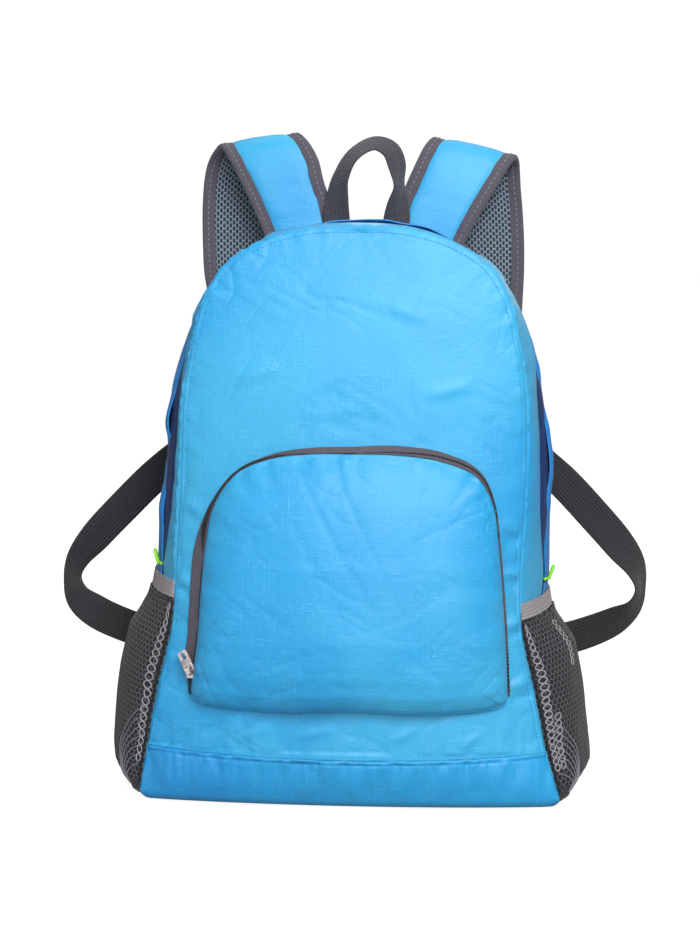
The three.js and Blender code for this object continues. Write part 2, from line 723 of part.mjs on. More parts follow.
// Places on the zipped edge of the pocket, from the left foot over the top.
const pocketPlaces = (() => {
  const corner = POCKET_CORNER / (2 * pocketRows);
  const side = shares(0, corner, POCKET_SIDE_STEPS);
  const top = shares(corner, 1 - corner, POCKET_TOP_STEPS).slice(1);
  const rest = shares(1 - corner, 1, POCKET_SIDE_STEPS).slice(1);
  return [...side, ...top, ...rest];
})();

function pocketOut(place) {
  const way = pocketCurve.getTangent(place);
  return vec(-way.z, 0, way.x).normalize();
}

// A point over the front panel's face, at a height over that face.
function overFront(p, rise) {
  return vec(p.x, frontY(p.x, p.z) - rise, p.z);
}

// The pocket's walls all face towards a flat core, in shares of its width and height.
const POCKET_CORE = { x: 0.32, low: 0.25, high: 0.62 };
const POCKET_CORE_DEPTH = 3;

function insidePocket(p) {
  const low = POCKET_LOW + POCKET_CORE.low * pocketHeight;
  const high = POCKET_LOW + POCKET_CORE.high * pocketHeight;
  const reach = POCKET_CORE.x * POCKET_WIDTH;
  const x = THREE.MathUtils.clamp(p.x, POCKET_SHIFT - reach, POCKET_SHIFT + reach);
  const z = THREE.MathUtils.clamp(p.z, low, high);
  return vec(x - p.x, POCKET_CORE_DEPTH, z - p.z).normalize();
}

const PUFF_ACROSS = 0.55;          // roundness of the pocket's bulge
const PUFF_UP = 0.5;
const FOOT_SPAN = 1 / 6;           // share of its height where the foot comes down

function addFrontPocket() {
  const edge = pocketPlaces.map((place) => pocketCurve.getPoint(place));
  const left = edge.slice(0, POCKET_SIDE_STEPS + 1);
  const top = edge.slice(POCKET_SIDE_STEPS, POCKET_SIDE_STEPS + POCKET_TOP_STEPS + 1);
  const right = edge.slice(POCKET_SIDE_STEPS + POCKET_TOP_STEPS).reverse();
  const bottom = shares(0, 1, POCKET_TOP_STEPS).map((s) => footCurve.getPoint(s));
  const outer = fill(bottom, top, left, right).map((line, i) => line.map((p, j) => {
    const v = i / POCKET_SIDE_STEPS;
    const u = j / POCKET_TOP_STEPS;
    const across = Math.sin(Math.PI * u) ** PUFF_ACROSS;
    const up = Math.max(0, Math.sin(Math.PI * v)) ** PUFF_UP;
    const edgeRise = mix(LAY_GAP + CLOTH, POCKET_RISE, Math.min(1, v / FOOT_SPAN));
    return overFront(p, edgeRise + POCKET_CROWN * across * up);
  }));
  addPiece('front_pocket', wallGeometry(outer, thicken(outer, CLOTH, insidePocket)), BLUE);
}

// Section of the zip band: out is a share of its width from the pocket's edge, rise
// a share of the coil's height.
const BAND_SECTION = [
  { out: 0.00, rise: 0 },
  { out: 0.30, rise: 0 },
  { out: 0.38, rise: 1 },
  { out: 0.56, rise: 1 },
  { out: 0.64, rise: 0 },
  { out: 1.00, rise: 0 },
];
const BAND_TAPER = { reach: 14, least: 0.25 };

function addPocketZip() {
  const rings = pocketPlaces.map((place) => {
    const p = pocketCurve.getPoint(place);
    const way = pocketOut(place);
    const nearEnd = Math.min(place, 1 - place) * BAND_TAPER.reach;
    const end = THREE.MathUtils.clamp(nearEnd, BAND_TAPER.least, 1);
    const rise = mix(LAY_GAP + CLOTH, POCKET_RISE, end);
    const band = mix(ZIP_BAND, ZIP_BAND_END, place);
    const at = (out, height) => {
      return overFront(p.clone().addScaledVector(way, SEAM_GAP + out * band), height);
    };
    const face = BAND_SECTION.map((row) => {
      return at(row.out, mix(rise, LAY_GAP + TAPE, row.out) + row.rise * COIL_RISE);
    });
    return [at(0, rise - TAPE), ...face, at(1, LAY_GAP)];
  });
  addPiece('pocket_zip_tape', rodGeometry(rings), GREY);
}

// Turns a geometry into a solid for joining and cutting, and back.
function toSolid(geometry) {
  const plain = geometry.clone();
  plain.deleteAttribute('normal');
  plain.deleteAttribute('uv');
  const merged = mergeVertices(plain);
  return new wasm.Manifold(new wasm.Mesh({
    numProp: 3,
    vertProperties: Float32Array.from(merged.attributes.position.array),
    triVerts: Uint32Array.from(merged.index.array),
  }));
}

function fromSolid(solid) {
  const mesh = solid.getMesh();
  const geometry = new THREE.BufferGeometry();
  geometry.setAttribute('position', new THREE.BufferAttribute(mesh.vertProperties, 3));
  geometry.setIndex(new THREE.BufferAttribute(mesh.triVerts, 1));
  geometry.computeVertexNormals();
  return geometry;
}

function plate(points, thickness, holes = []) {
  const shape = new THREE.Shape(points.map(([x, y]) => new THREE.Vector2(x, y)));
  for (const hole of holes) {
    shape.holes.push(new THREE.Path(hole.map(([x, y]) => new THREE.Vector2(x, y))));
  }
  return new THREE.ExtrudeGeometry(shape, { depth: thickness, bevelEnabled: false });
}

// Corners of a rectangle with cut corners.
function chamfered(x0, x1, y0, y1, cut) {
  return [
    [x0 + cut, y0], [x1 - cut, y0], [x1, y0 + cut], [x1, y1 - cut],
    [x1 - cut, y1], [x0 + cut, y1], [x0, y1 - cut], [x0, y0 + cut],
  ];
}

const SLIDER_STEP = 0.0005;        // step along the zip in the search for its place
const COIL_MIDDLE = 0.47;          // share of the band's width under the slider
const SLIDER_FACE = { x: -0.30, y: -1, z: 0.16 };

// Frame of the pocket slider: along the zip, across it, and out of the bag.
function sliderFrame() {
  let place = 0;
  while (pocketCurve.getPoint(place).z < SLIDER_HEIGHT) {
    place += SLIDER_STEP;
  }
  const middle = pocketCurve.getPoint(place);
  middle.addScaledVector(pocketOut(place), SEAM_GAP + ZIP_BAND * COIL_MIDDLE);
  const out = vec(SLIDER_FACE.x, SLIDER_FACE.y, SLIDER_FACE.z).normalize();
  const along = vec(0, 0, 1).addScaledVector(out, -out.z).normalize();
  const across = along.clone().cross(out);
  const rise = POCKET_RISE + COIL_RISE + LAY_GAP;
  return { origin: overFront(middle, rise), across, along, out };
}

const PIN_HEIGHT = 1.1;            // of the pull's bar over the slider's plate
const slider = sliderFrame();

function place(geometry, across, along, out, origin) {
  const basis = new THREE.Matrix4().makeBasis(across, along, out).setPosition(origin);
  return geometry.applyMatrix4(basis);
}

function addPocketSlider() {
  const w = SLIDER.wide / 2;
  const n = SLIDER.narrow / 2;
  const l = SLIDER.length / 2;
  const cut = SLIDER.corner;
  const body = plate([
    [-n, -l], [n, -l], [w, 0], [w, l - cut], [w - cut, l], [cut - w, l], [-w, l - cut], [-w, 0],
  ], SLIDER.plate);
  const b = BRIDGE.length / 2;
  const h = BRIDGE.height;
  const c = BRIDGE.corner;
  const inner = b - BRIDGE.wire;
  const under = h - BRIDGE.wire;
  const round = c / 2;
  const arch = plate([
    [-b, -BRIDGE.sunk], [b, -BRIDGE.sunk], [b, h - c], [b - c, h], [c - b, h], [-b, h - c],
  ], BRIDGE.width, [[
    [-inner, 0], [-inner, under - round], [round - inner, under],
    [inner - round, under], [inner, under - round], [inner, 0],
  ]]);
  arch.applyMatrix4(new THREE.Matrix4().makeBasis(vec(0, 1, 0), vec(0, 0, 1), vec(1, 0, 0)));
  arch.translate(-BRIDGE.width / 2, 0, SLIDER.plate);
  const joined = fromSolid(toSolid(body).add(toSolid(arch)));
  place(joined, slider.across, slider.along, slider.out, slider.origin);
  addPiece('pocket_slider', joined, METAL);
}

function addPocketPull() {
  const w = PULL.width / 2;
  const low = -PULL.bar / 2;
  const side = w - PULL_WINDOW.side;
  const windowTop = PULL.bar / 2 + PULL_WINDOW.length;
  const window = chamfered(-side, side, PULL.bar / 2, windowTop, PULL_WINDOW.corner);
  const slotSide = PULL_SLOT.width / 2;
  const slotTop = PULL_SLOT.from + PULL_SLOT.length;
  const slot = chamfered(-slotSide, slotSide, PULL_SLOT.from, slotTop, PULL_SLOT.corner);
  const outline = chamfered(-w, w, low, PULL.length + low, PULL.corner);
  const tab = plate(outline, PULL.thickness, [window, slot]);
  tab.translate(0, 0, -PULL.thickness / 2);
  const along = slider.along.clone().applyAxisAngle(slider.out, PULL_TURN);
  const across = along.clone().cross(slider.out);
  const pin = slider.origin.clone().addScaledVector(slider.out, SLIDER.plate + PIN_HEIGHT);
  place(tab, across, along, slider.out, pin);
  addPiece('pocket_pull', tab, METAL);
}

// Small sliders at the ends of the main zip, with soft green pulls.
function addMainSlider(side) {
  const label = side < 0 ? 'left' : 'right';
  const u = sideRow(side, ZIP_ROW + MAIN_SLIDER_ROW);
  const t = (SLOT_START + slotEnd) / 2;
  const base = gusset(u, t);
  const ahead = gusset(sideRow(side, ZIP_ROW + 2 * MAIN_SLIDER_ROW), t);
  const along = ahead.sub(base).normalize();
  const across = gusset(u, slotEnd).sub(gusset(u, SLOT_START));
  across.addScaledVector(along, -across.dot(along)).normalize();
  const out = across.clone().cross(along);
  if (out.dot(outward(u)) < 0) {
    out.negate();
  }
  const wide = along.clone().cross(out);
  const w = MAIN_SLIDER.width / 2;
  const l = MAIN_SLIDER.length / 2;
  const body = plate(chamfered(-w, w, -l, l, MAIN_SLIDER.corner), MAIN_SLIDER.height);
  place(body, wide, along, out, base.clone().addScaledVector(out, -CLOTH));
  addPiece(`main_slider_${label}`, body, METAL);
  const p = ZIP_PULL.width / 2;
  const pull = plate(chamfered(-p, p, -ZIP_PULL.length, 0, ZIP_PULL.corner), ZIP_PULL.thickness);
  const hang = base.clone().addScaledVector(out, MAIN_SLIDER.height - CLOTH + LAY_GAP);
  place(pull, wide, along, out, hang.addScaledVector(along, ZIP_PULL.hang));
  addPiece(`zip_pull_${label}`, pull, GREEN);
}

// Frames along a curve whose flat side is set by a preferred width direction.
function ribbonFrames(curve, places, widthAt) {
  return places.map((s) => {
    const origin = curve.getPoint(s);
    const along = curve.getTangent(s).normalize();
    const wide = widthAt(s, along).clone();
    wide.addScaledVector(along, -wide.dot(along)).normalize();
    return { s, origin, along, wide, face: along.clone().cross(wide) };
  });
}

function section(frame, points) {
  return points.map(([w, f]) => {
    return frame.origin.clone().addScaledVector(frame.wide, w).addScaledVector(frame.face, f);
  });
}

function atShare(table, column, s) {
  const place = s * (table.length - 1);
  const low = Math.min(table.length - 2, Math.floor(place));
  return mix(table[low][column], table[low + 1][column], place - low);
}

// Padded strap: a rounded middle with thin edges inside the bindings.
function strapFrames(side) {
  const curve = new THREE.CatmullRomCurve3(STRAP_ROUTE.map((row) => {
    const x = side * (STRAP_OUT + row.out * STRAP_REACH);
    return vec(x, BACK_Y + row.behind * STRAP_BEHIND, row.up * BODY_HEIGHT);
  }), false, 'centripetal');
  const places = [0, ...STRAP_FACETS.flatMap((row) => shares(row.from, row.to, row.steps).slice(1))];
  const frames = ribbonFrames(curve, places, (s) => {
    const tilt = THREE.MathUtils.degToRad(atShare(STRAP_ROUTE, 'tilt', s));
    return vec(side * Math.cos(tilt), 0, -Math.sin(tilt));
  });
  frames.forEach((frame) => frame.face.multiplyScalar(-side));
  return frames;
}

const BIND_SLACK = 0.2;            // extra room between a strap's edge and its binding
const PAD_FREE = 1;                // flat edge seen between the binding and the padding
const PAD_SLOPE = 5;               // width of the padding's sloping side
const PAD_SHOULDER = 0.9;          // height of the slope's top, as a share of the padding's

function addStrap(side) {
  const label = side < 0 ? 'left' : 'right';
  const frames = strapFrames(side);
  const edge = STRAP_EDGE / 2;
  const widthAt = (s) => atShare(STRAP_ROUTE, 'width', s) * STRAP_WIDTH / 2;
  const hem = BIND_THICK / 2 - edge;
  const rings = frames.map((frame) => {
    const w = widthAt(frame.s) - hem - LAY_GAP;
    const pad = edge + (STRAP_THICK / 2 - edge) * atShare(STRAP_ROUTE, 'padding', frame.s);
    const inner = widthAt(frame.s) - BIND_WIDTH - PAD_FREE;
    const swell = inner - PAD_SLOPE;
    const shoulder = pad * PAD_SHOULDER;
    return section(frame, [
      [-w, -edge], [-inner, -edge], [-swell, -shoulder], [0, -pad], [swell, -shoulder],
      [inner, -edge], [w, -edge], [w, edge], [inner, edge], [swell, shoulder], [0, pad],
      [-swell, shoulder], [-inner, edge], [-w, edge],
    ]);
  });
  addPiece(`strap_${label}`, rodGeometry(rings), BLUE);
  for (const [word, sign] of [['inner', -1], ['outer', 1]]) {
    const bind = frames.map((frame) => {
      const w = widthAt(frame.s);
      const slotLow = edge + LAY_GAP + BIND_SLACK;
      const end = w - BIND_WIDTH;
      const wall = BIND_THICK / 2 + BIND_SLACK;
      const bottom = w - hem;
      return section(frame, [
        [sign * end, -wall], [sign * w, -wall], [sign * w, wall], [sign * end, wall],
        [sign * end, slotLow], [sign * bottom, slotLow], [sign * bottom, -slotLow], [sign * end, -slotLow],
      ]);
    });
    addPiece(`strap_binding_${label}_${word}`, rodGeometry(bind), GREY);
  }
}

// Plain buckle between a strap's end and its webbing.
function addLadderLock(side) {
  const label = side < 0 ? 'left' : 'right';
  const end = strapFrames(side).pop();
  const w = LOCK.width / 2;
  const frame = plate(chamfered(-w, w, 0, LOCK.length, LOCK.corner), LOCK.thickness);
  frame.translate(0, LAY_GAP, -LOCK.thickness / 2);
  const out = end.wide.clone().cross(end.along);
  place(frame, end.wide, end.along, out, end.origin);
  addPiece(`ladder_lock_${label}`, frame, BLACK);
}

// Width direction of a flat band whose face is turned from the front.
function turnedWidth(along, degrees) {
  const turn = THREE.MathUtils.degToRad(degrees);
  const flat = along.clone().cross(vec(0, 1, 0)).normalize();
  return flat.multiplyScalar(Math.cos(turn)).addScaledVector(vec(0, 1, 0), Math.sin(turn));
}

// A flat band along its frames.
function bandGeometry(frames, width, thickness) {
  const w = width / 2;
  const h = thickness / 2;
  return rodGeometry(frames.map((frame) => section(frame, [[-w, -h], [w, -h], [w, h], [-w, h]])));
}

const WEB_LEAD = 5;                // straight run of the webbing out of the buckle

// Flat webbing that swings out at the side, from the buckle to the back panel.
function addWebbing(side) {
  const label = side < 0 ? 'left' : 'right';
  const end = strapFrames(side).pop();
  const start = end.origin.clone().addScaledVector(end.along, LOCK.length + 2 * LAY_GAP);
  const lead = start.clone().addScaledVector(end.along, WEB_LEAD);
  const rest = WEB_ROUTE.map((row) => {
    const x = WEB_SHIFT + side * row.across * WEB_REACH;
    return vec(x, BACK_Y + row.behind * WEB_BEHIND, row.up * BODY_HEIGHT);
  });
  const curve = new THREE.CatmullRomCurve3([start, lead, ...rest], false, 'centripetal');
  const faces = [{ face: 0 }, { face: 0 }, ...WEB_ROUTE];
  const frames = ribbonFrames(curve, shares(0, 1, WEB_STEPS), (s, along) => {
    return turnedWidth(along, atShare(faces, 'face', s));
  });
  addPiece(`strap_webbing_${label}`, bandGeometry(frames, WEB_WIDTH, WEB_THICK), BLACK);
}

const HANDLE_SEAT = 0.32;          // share of the back's crown under the handle's feet

function addHandle() {
  const rows = [
    ...HANDLE_ROUTE.map((row) => ({ ...row, side: -1 })),
    ...HANDLE_ROUTE.slice(0, HANDLE_ROUTE.length - 1).reverse().map((row) => ({ ...row, side: 1 })),
  ];
  const top = backSeam(TOP).z;
  const lie = BACK_Y + HANDLE_SEAT * BACK_CROWN + LAY_GAP + HANDLE_THICK / 2;
  const curve = new THREE.CatmullRomCurve3(rows.map((row) => {
    const x = HANDLE_SHIFT + row.lean * HANDLE_TIP + row.side * row.across * HANDLE_SPAN / 2;
    return vec(x, lie - row.lean * HANDLE_LEAN, top + row.up * HANDLE_HEIGHT);
  }), false, 'centripetal');
  const frames = ribbonFrames(curve, shares(0, 1, HANDLE_STEPS), (s, along) => {
    return turnedWidth(along, atShare(rows, 'twist', s));
  });
  addPiece('carry_handle', bandGeometry(frames, HANDLE_WIDTH, HANDLE_THICK), GREY);
}

addFrontPanel();
addGussets();
addSidePanel(-1);
addSidePanel(1);
addBackPanel();
addBottomPanel();
addSidePocket(-1, MOUTH_DROP_LEFT);
addSidePocket(1, MOUTH_DROP_RIGHT);
addFrontPocket();
addPocketZip();
addPocketSlider();
addPocketPull();
addMainSlider(-1);
addMainSlider(1);
addStrap(-1);
addStrap(1);
addLadderLock(-1);
addLadderLock(1);
addWebbing(-1);
addWebbing(1);
addHandle();

// The origin goes under the middle of the whole part.
bag.updateMatrixWorld(true);
const whole = new THREE.Box3().setFromObject(bag);
bag.position.set(-(whole.min.x + whole.max.x) / 2, -(whole.min.y + whole.max.y) / 2, -whole.min.z);

export default bag;
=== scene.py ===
import math

import bmesh
import bpy
import numpy as np
from mathutils import Matrix, Vector


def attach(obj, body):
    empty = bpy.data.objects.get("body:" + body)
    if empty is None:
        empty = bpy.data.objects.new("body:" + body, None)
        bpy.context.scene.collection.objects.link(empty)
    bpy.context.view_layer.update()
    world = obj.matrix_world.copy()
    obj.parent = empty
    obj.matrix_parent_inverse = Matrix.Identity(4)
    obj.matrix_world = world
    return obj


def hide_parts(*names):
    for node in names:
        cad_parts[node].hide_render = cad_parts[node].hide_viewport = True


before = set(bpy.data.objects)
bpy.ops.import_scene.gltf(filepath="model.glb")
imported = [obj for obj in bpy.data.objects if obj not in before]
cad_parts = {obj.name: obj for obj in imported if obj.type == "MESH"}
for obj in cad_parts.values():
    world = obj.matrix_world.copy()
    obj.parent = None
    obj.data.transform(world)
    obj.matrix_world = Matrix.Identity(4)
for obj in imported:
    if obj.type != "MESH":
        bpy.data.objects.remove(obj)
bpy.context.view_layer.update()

MM = 0.001
LEAN = 0.0125            # the bag leans right by this share of its height
SHIFT_X = 1.028          # from the bag's own middle to the middle of the whole part
SHIFT_Y = -7.555
TAU = 2 * math.pi

# Body
HALF_WIDTH = 121
BODY_HEIGHT = 405
BASE_DEPTH = 110
TOP_DEPTH = 98
BACK_Y = 60
FRONT_CROWN = 27
BACK_CROWN = 5
GUSSET_BULGE = 17
GUSSET_ROUND = 0.8
SEAM_SAG = 3.5
CLOTH = 0.9              # ripstop
SLOT_ROWS = (4.0, 4.8, 5.6, 7.0, 9.0, 10.5, 12.0, 13.5, 15.0, 17.0, 18.4, 19.2, 20.0)
SLOT_SHARE = (0.20, 0.15, 0.13, 0.13, 0.18, 0.30, 0.48, 0.46, 0.33, 0.28, 0.26, 0.26, 0.30)
SLOT_WIDTHS = (6.0, 10.0, 11.0, 10.0, 7.5, 6.5, 6.5, 6.5, 7.0, 8.5, 9.0, 8.0, 6.0)
FLAP_RISE = 1.6
FLAP_WAVE = 0.8
SIDE_MIDDLE = 5.2
SIDE_REACH = 1.5
SIDE_LIP = 4.4
SIDE_LIP_REACH = 16
TAPE_SLOPE = 4.6

# Rows of the arch: across, up, back across, back up, bulge
ARCH = (
    (1.215, 0.015, 1.240, 0.015, 0.40),
    (1.160, 0.101, 1.225, 0.101, 0.50),
    (1.105, 0.200, 1.190, 0.200, 0.67),
    (1.035, 0.300, 1.112, 0.305, 0.74),
    (1.002, 0.405, 1.100, 0.410, 0.95),
    (0.998, 0.570, 1.065, 0.580, 0.84),
    (0.988, 0.710, 1.010, 0.725, 0.66),
    (0.950, 0.790, 0.965, 0.800, 0.54),
    (0.878, 0.878, 0.868, 0.868, 0.30),
    (0.750, 0.940, 0.735, 0.918, 0.25),
    (0.535, 0.980, 0.530, 0.960, 0.28),
    (0.285, 1.001, 0.285, 0.989, 0.30),
    (0.000, 1.005, 0.000, 0.998, 0.30),
)
# Sideways shift of the left and the right seam at some heights
SHIFT_UP = (0, 35, 75, 118, 150, 165, 230)
SHIFT_LEFT = (0.0, -1.2, -1.1, -1.2, -2.3, -2.2, 0.0)
SHIFT_RIGHT = (5.0, 0.0, -2.9, -3.6, -3.0, -2.4, 0.0)
SHIFT_REAR_LEFT = (0.0, 0.0, 0.0, 1.0, 3.2, 3.0, 0.0)
TOP = len(ARCH) - 1
SEAM_ROW = 1
ZIP_ROW = 4
HEM_ROWS = (3.66, 3.42)  # where the strips end, behind the left and the right mesh pocket's band
SHOULDER_ROW = 9
CROWN_UP = (0.0, 0.101, 0.30, 0.50, 0.75, 0.90, 1.0)
CROWN_SHARE = (0.80, 0.88, 1.00, 0.95, 0.72, 0.42, 0.0)
CROWN_POWER = 0.75

# Front pocket
POCKET_WIDTH = 213
POCKET_LOW = 72
POCKET_HEIGHT = 179
POCKET_SHIFT = 1
POCKET_CROWN = 19
POCKET_RISE = 4
BAND_PLACES = (
    0.0, 0.018, 0.03, 0.17, 0.20, 0.23, 0.26, 0.31, 0.36, 0.40,
    0.43, 0.5, 0.56, 0.62, 0.66, 0.7, 0.74, 0.78, 1.0,
)
BAND_WIDTHS = (
    0.8, 3.2, 7.2, 8.4, 6.8, 4.0, 2.2, 1.8, 2.2, 3.4, 4.0, 4.8, 6.3, 6.3, 5.5, 3.5, 1.8, 0.4, 0.2,
)
POCKET_LEFT = (
    (1.046, 0.06), (1.004, 0.26), (0.985, 0.45), (0.955, 0.65), (0.900, 0.80),
    (0.752, 0.922), (0.545, 0.979), (0.280, 1.003), (0.000, 1.006),
)
POCKET_RIGHT = (
    (1.046, 0.06), (1.024, 0.26), (0.996, 0.45), (0.960, 0.65), (0.918, 0.80),
    (0.806, 0.916), (0.560, 0.980), (0.280, 1.003), (0.000, 1.006),
)
POCKET_FOOT = ((1.046, 0.06), (1.030, 0.028), (0.955, 0.008), (0.500, -0.008), (0.000, 0.004))
PUFF_UP = (0.0, 0.03, 0.07, 0.13, 0.25, 0.55, 0.80, 0.93, 1.0)
PUFF_SHARE = (0.0, 0.50, 0.80, 0.94, 1.00, 0.90, 0.62, 0.32, 0.0)
HANG_UP = (0.0, 0.02, 0.05, 0.10, 0.20)
HANG_DROP = (0.0, 2.4, 3.0, 1.6, 0.0)
POCKET_CORNER = 4

# Mesh pockets
POCKET_BAG = 18.5
MOUTH_LEFT = 158
MOUTH_RIGHT = 146
BINDING_HEIGHT = 12
MESH_START = 0.0
MESH_END = 0.94
BAG_UP = (0.0, 0.06, 0.16, 0.50, 0.70, 0.88, 1.0)
BAG_SHARE = (0.0, 0.92, 1.0, 1.0, 0.92, 0.22, 0.0)

# Straps: outer edge across and up, inner edge across and up, depth, padding
STRAP_THICK = 7.6
STRAP_EDGE = 2.4
BIND_WIDTH = 10
BIND_THICK = 5.0
STRAP_LEFT = (
    (68.5, 376.0, 10.8, 376.0, 65.8, 0.50), (72.5, 391.0, 15.5, 391.0, 66.9, 0.60),
    (76.5, 402.0, 20.5, 404.0, 68.7, 0.85), (85.4, 422.0, 26.0, 424.0, 70.0, 1.00),
    (93.6, 438.0, 32.0, 440.0, 71.5, 1.00), (101.8, 453.0, 36.5, 456.0, 74.0, 1.00),
    (107.5, 461.5, 44.0, 468.5, 78.0, 0.90), (111.5, 465.0, 51.0, 474.0, 84.0, 0.80),
    (117.0, 461.0, 56.0, 470.5, 92.5, 0.90), (121.5, 454.5, 60.5, 462.5, 99.0, 1.00),
    (124.5, 444.0, 63.5, 449.0, 103.0, 1.00), (126.3, 423.0, 65.5, 424.0, 105.5, 1.00),
    (126.0, 395.5, 66.0, 396.0, 106.0, 1.00), (124.5, 372.0, 65.5, 372.0, 105.0, 1.00),
    (121.0, 351.0, 65.8, 350.0, 103.7, 1.00), (118.4, 319.0, 70.0, 312.7, 99.1, 0.90),
    (120.6, 294.2, 80.0, 281.0, 95.0, 0.75), (128.0, 273.4, 94.0, 257.2, 91.7, 0.55),
)
STRAP_RIGHT = (
    (67.5, 376.0, 10.8, 376.0, 65.8, 0.50), (70.5, 387.0, 13.5, 391.0, 66.9, 0.60),
    (74.0, 396.0, 17.0, 404.0, 68.7, 0.85), (81.5, 411.0, 23.0, 423.0, 70.0, 1.00),
    (90.5, 427.0, 30.0, 440.5, 71.5, 1.00), (99.0, 441.5, 36.0, 454.5, 74.0, 1.00),
    (105.5, 452.5, 41.5, 466.0, 78.0, 0.90), (110.0, 458.0, 46.5, 471.5, 84.0, 0.80),
    (112.3, 455.5, 51.5, 468.0, 92.5, 0.90), (113.2, 449.0, 54.5, 460.0, 99.0, 1.00),
    (114.2, 436.5, 56.5, 446.5, 103.0, 1.00), (116.0, 421.0, 58.5, 423.0, 105.5, 1.00),
    (118.0, 395.5, 60.5, 396.0, 106.0, 1.00), (118.5, 372.0, 62.5, 372.0, 105.0, 1.00),
    (118.0, 351.0, 64.5, 350.0, 103.7, 1.00), (117.6, 319.0, 69.5, 312.7, 99.1, 0.90),
    (120.6, 294.2, 80.0, 281.0, 95.0, 0.75), (128.0, 273.4, 94.0, 257.2, 91.7, 0.55),
)
STRAP_END = (111.0, 91.7, 265.3)         # where the buckle begins
STRAP_END_WAY = (0.43, -0.13, -0.893)

# Webbing loops: across, behind, up, face
WEB_WIDTH = 25
WEB_THICK = 1.9
WEB_REACH = 214
WEB_BEHIND = 30
WEB_SHIFT = -3
WEB_LEAD = 5
LOCK_LENGTH = 17
WEB_ROUTE = (
    (0.640, 0.800, 0.573, 2), (0.725, 0.660, 0.535, 4), (0.825, 0.500, 0.481, 8),
    (0.920, 0.330, 0.426, 20), (0.982, 0.230, 0.382, 52), (1.000, 0.200, 0.345, 72),
    (0.980, 0.200, 0.311, 55), (0.915, 0.220, 0.283, 22), (0.820, 0.220, 0.260, 8),
    (0.720, 0.190, 0.244, 4), (0.640, 0.120, 0.234, 0), (0.560, 0.096, 0.225, 0),
)

# Carry handle: across, up, lean, twist
HANDLE_WIDTH = 20
HANDLE_THICK = 2.1
HANDLE_SPAN = 44
HANDLE_HEIGHT = 64
HANDLE_SHIFT = 0.5
HANDLE_LEAN = 9
HANDLE_TIP = 2
HANDLE_ROUTE = (
    (-1.00, -0.14, 0.0, 0), (-1.00, 0.06, 0.1, 6), (-1.02, 0.32, 0.5, 30), (-0.94, 0.60, 0.9, 52),
    (-0.54, 0.86, 1.0, 60), (0.16, 0.99, 1.0, 60), (0.68, 0.92, 1.0, 50), (0.93, 0.74, 0.9, 50),
    (1.03, 0.52, 0.6, 76), (1.02, 0.28, 0.4, 34), (1.00, 0.06, 0.1, 6), (1.00, -0.14, 0.0, 0),
)

# Photograph's camera, in the bag's own millimetres
PHOTO_HEIGHT = 929
FOCAL_PIXELS = 2240
SENSOR = 36
CAMERA_YAW = math.radians(3.3)
CAMERA_PITCH = math.radians(6.5)
CAMERA_ROLL = math.radians(0.4)
CAMERA_DISTANCE = 1600
CAMERA_HEIGHT = 419.5
CAMERA_X = -1.5


def to_world(points):
    """Points of the bag, in millimetres, as places in the part's own frame in metres."""
    p = np.asarray(points, float)
    x = p[..., 0] + LEAN * p[..., 2] + SHIFT_X
    return np.stack([x, p[..., 1] + SHIFT_Y, p[..., 2]], axis=-1) * MM


def column(table, index):
    return np.array([row[index] for row in table], float)


def smooth_table(keys, values, places, spread=0.05):
    """Reads a table between its rows, with its corners rounded off."""
    dense = np.linspace(keys[0], keys[-1], 401)
    wide = int(spread * 400)
    flat = np.pad(np.interp(dense, keys, values), wide, mode="edge")
    kernel = np.hanning(2 * wide + 1)
    rounded = np.convolve(flat, kernel / kernel.sum(), mode="valid")
    return np.interp(places, dense, rounded)


def catmull(points, places):
    """Points of a centripetal curve through points, at places from 0 to 1."""
    p = np.asarray(points, float)
    last = len(p) - 1
    ends = np.vstack([2 * p[0] - p[1], p, 2 * p[-1] - p[-2]])
    scaled = np.clip(np.asarray(places, float), 0, 1) * last
    low = np.minimum(scaled.astype(int), last - 1)
    w = (scaled - low)[:, None]
    a, b, c, d = (ends[low + k] for k in range(4))

    def knot(start, end):
        return np.maximum(np.sum((end - start) ** 2, axis=1), 1e-8)[:, None] ** 0.25

    ab, bc, cd = knot(a, b), knot(b, c), knot(c, d)
    leave = ((b - a) / ab - (c - a) / (ab + bc) + (c - b) / bc) * bc
    arrive = ((c - b) / bc - (d - b) / (bc + cd) + (d - c) / cd) * bc
    start = (2 * w**3 - 3 * w**2 + 1) * b + (w**3 - 2 * w**2 + w) * leave
    return start + (3 * w**2 - 2 * w**3) * c + (w**3 - w**2) * arrive


def soft_noise(x, y, seed):
    """Smooth random heights from -1 to 1, one for each unit cell."""
    size = 64
    lattice = np.random.RandomState(seed).uniform(-1, 1, (size, size))
    xi, yi = np.floor(x).astype(int), np.floor(y).astype(int)
    fx, fy = x - xi, y - yi
    fx, fy = fx * fx * (3 - 2 * fx), fy * fy * (3 - 2 * fy)
    a = lattice[xi % size, yi % size]
    b = lattice[(xi + 1) % size, yi % size]
    c = lattice[xi % size, (yi + 1) % size]
    d = lattice[(xi + 1) % size, (yi + 1) % size]
    return (a * (1 - fx) + b * fx) * (1 - fy) + (c * (1 - fx) + d * fx) * fy


def gathers(along, away, depth, pitch, reach, seed):
    """Puckers beside a seam: ridges that run away from it and fade."""
    ridges = soft_noise(along / pitch, away / (5 * pitch), seed)
    finer = soft_noise(along / (0.45 * pitch), away / (2 * pitch), seed + 1)
    return depth * np.exp(-away / reach) * (ridges + 0.5 * finer)


def dents(x, y, depth, size, seed):
    """Wide soft hollows and swells of loose cloth."""
    broad = soft_noise(x / size, y / size, seed)
    return depth * (broad + 0.4 * soft_noise(2 * x / size, 2 * y / size, seed + 1))


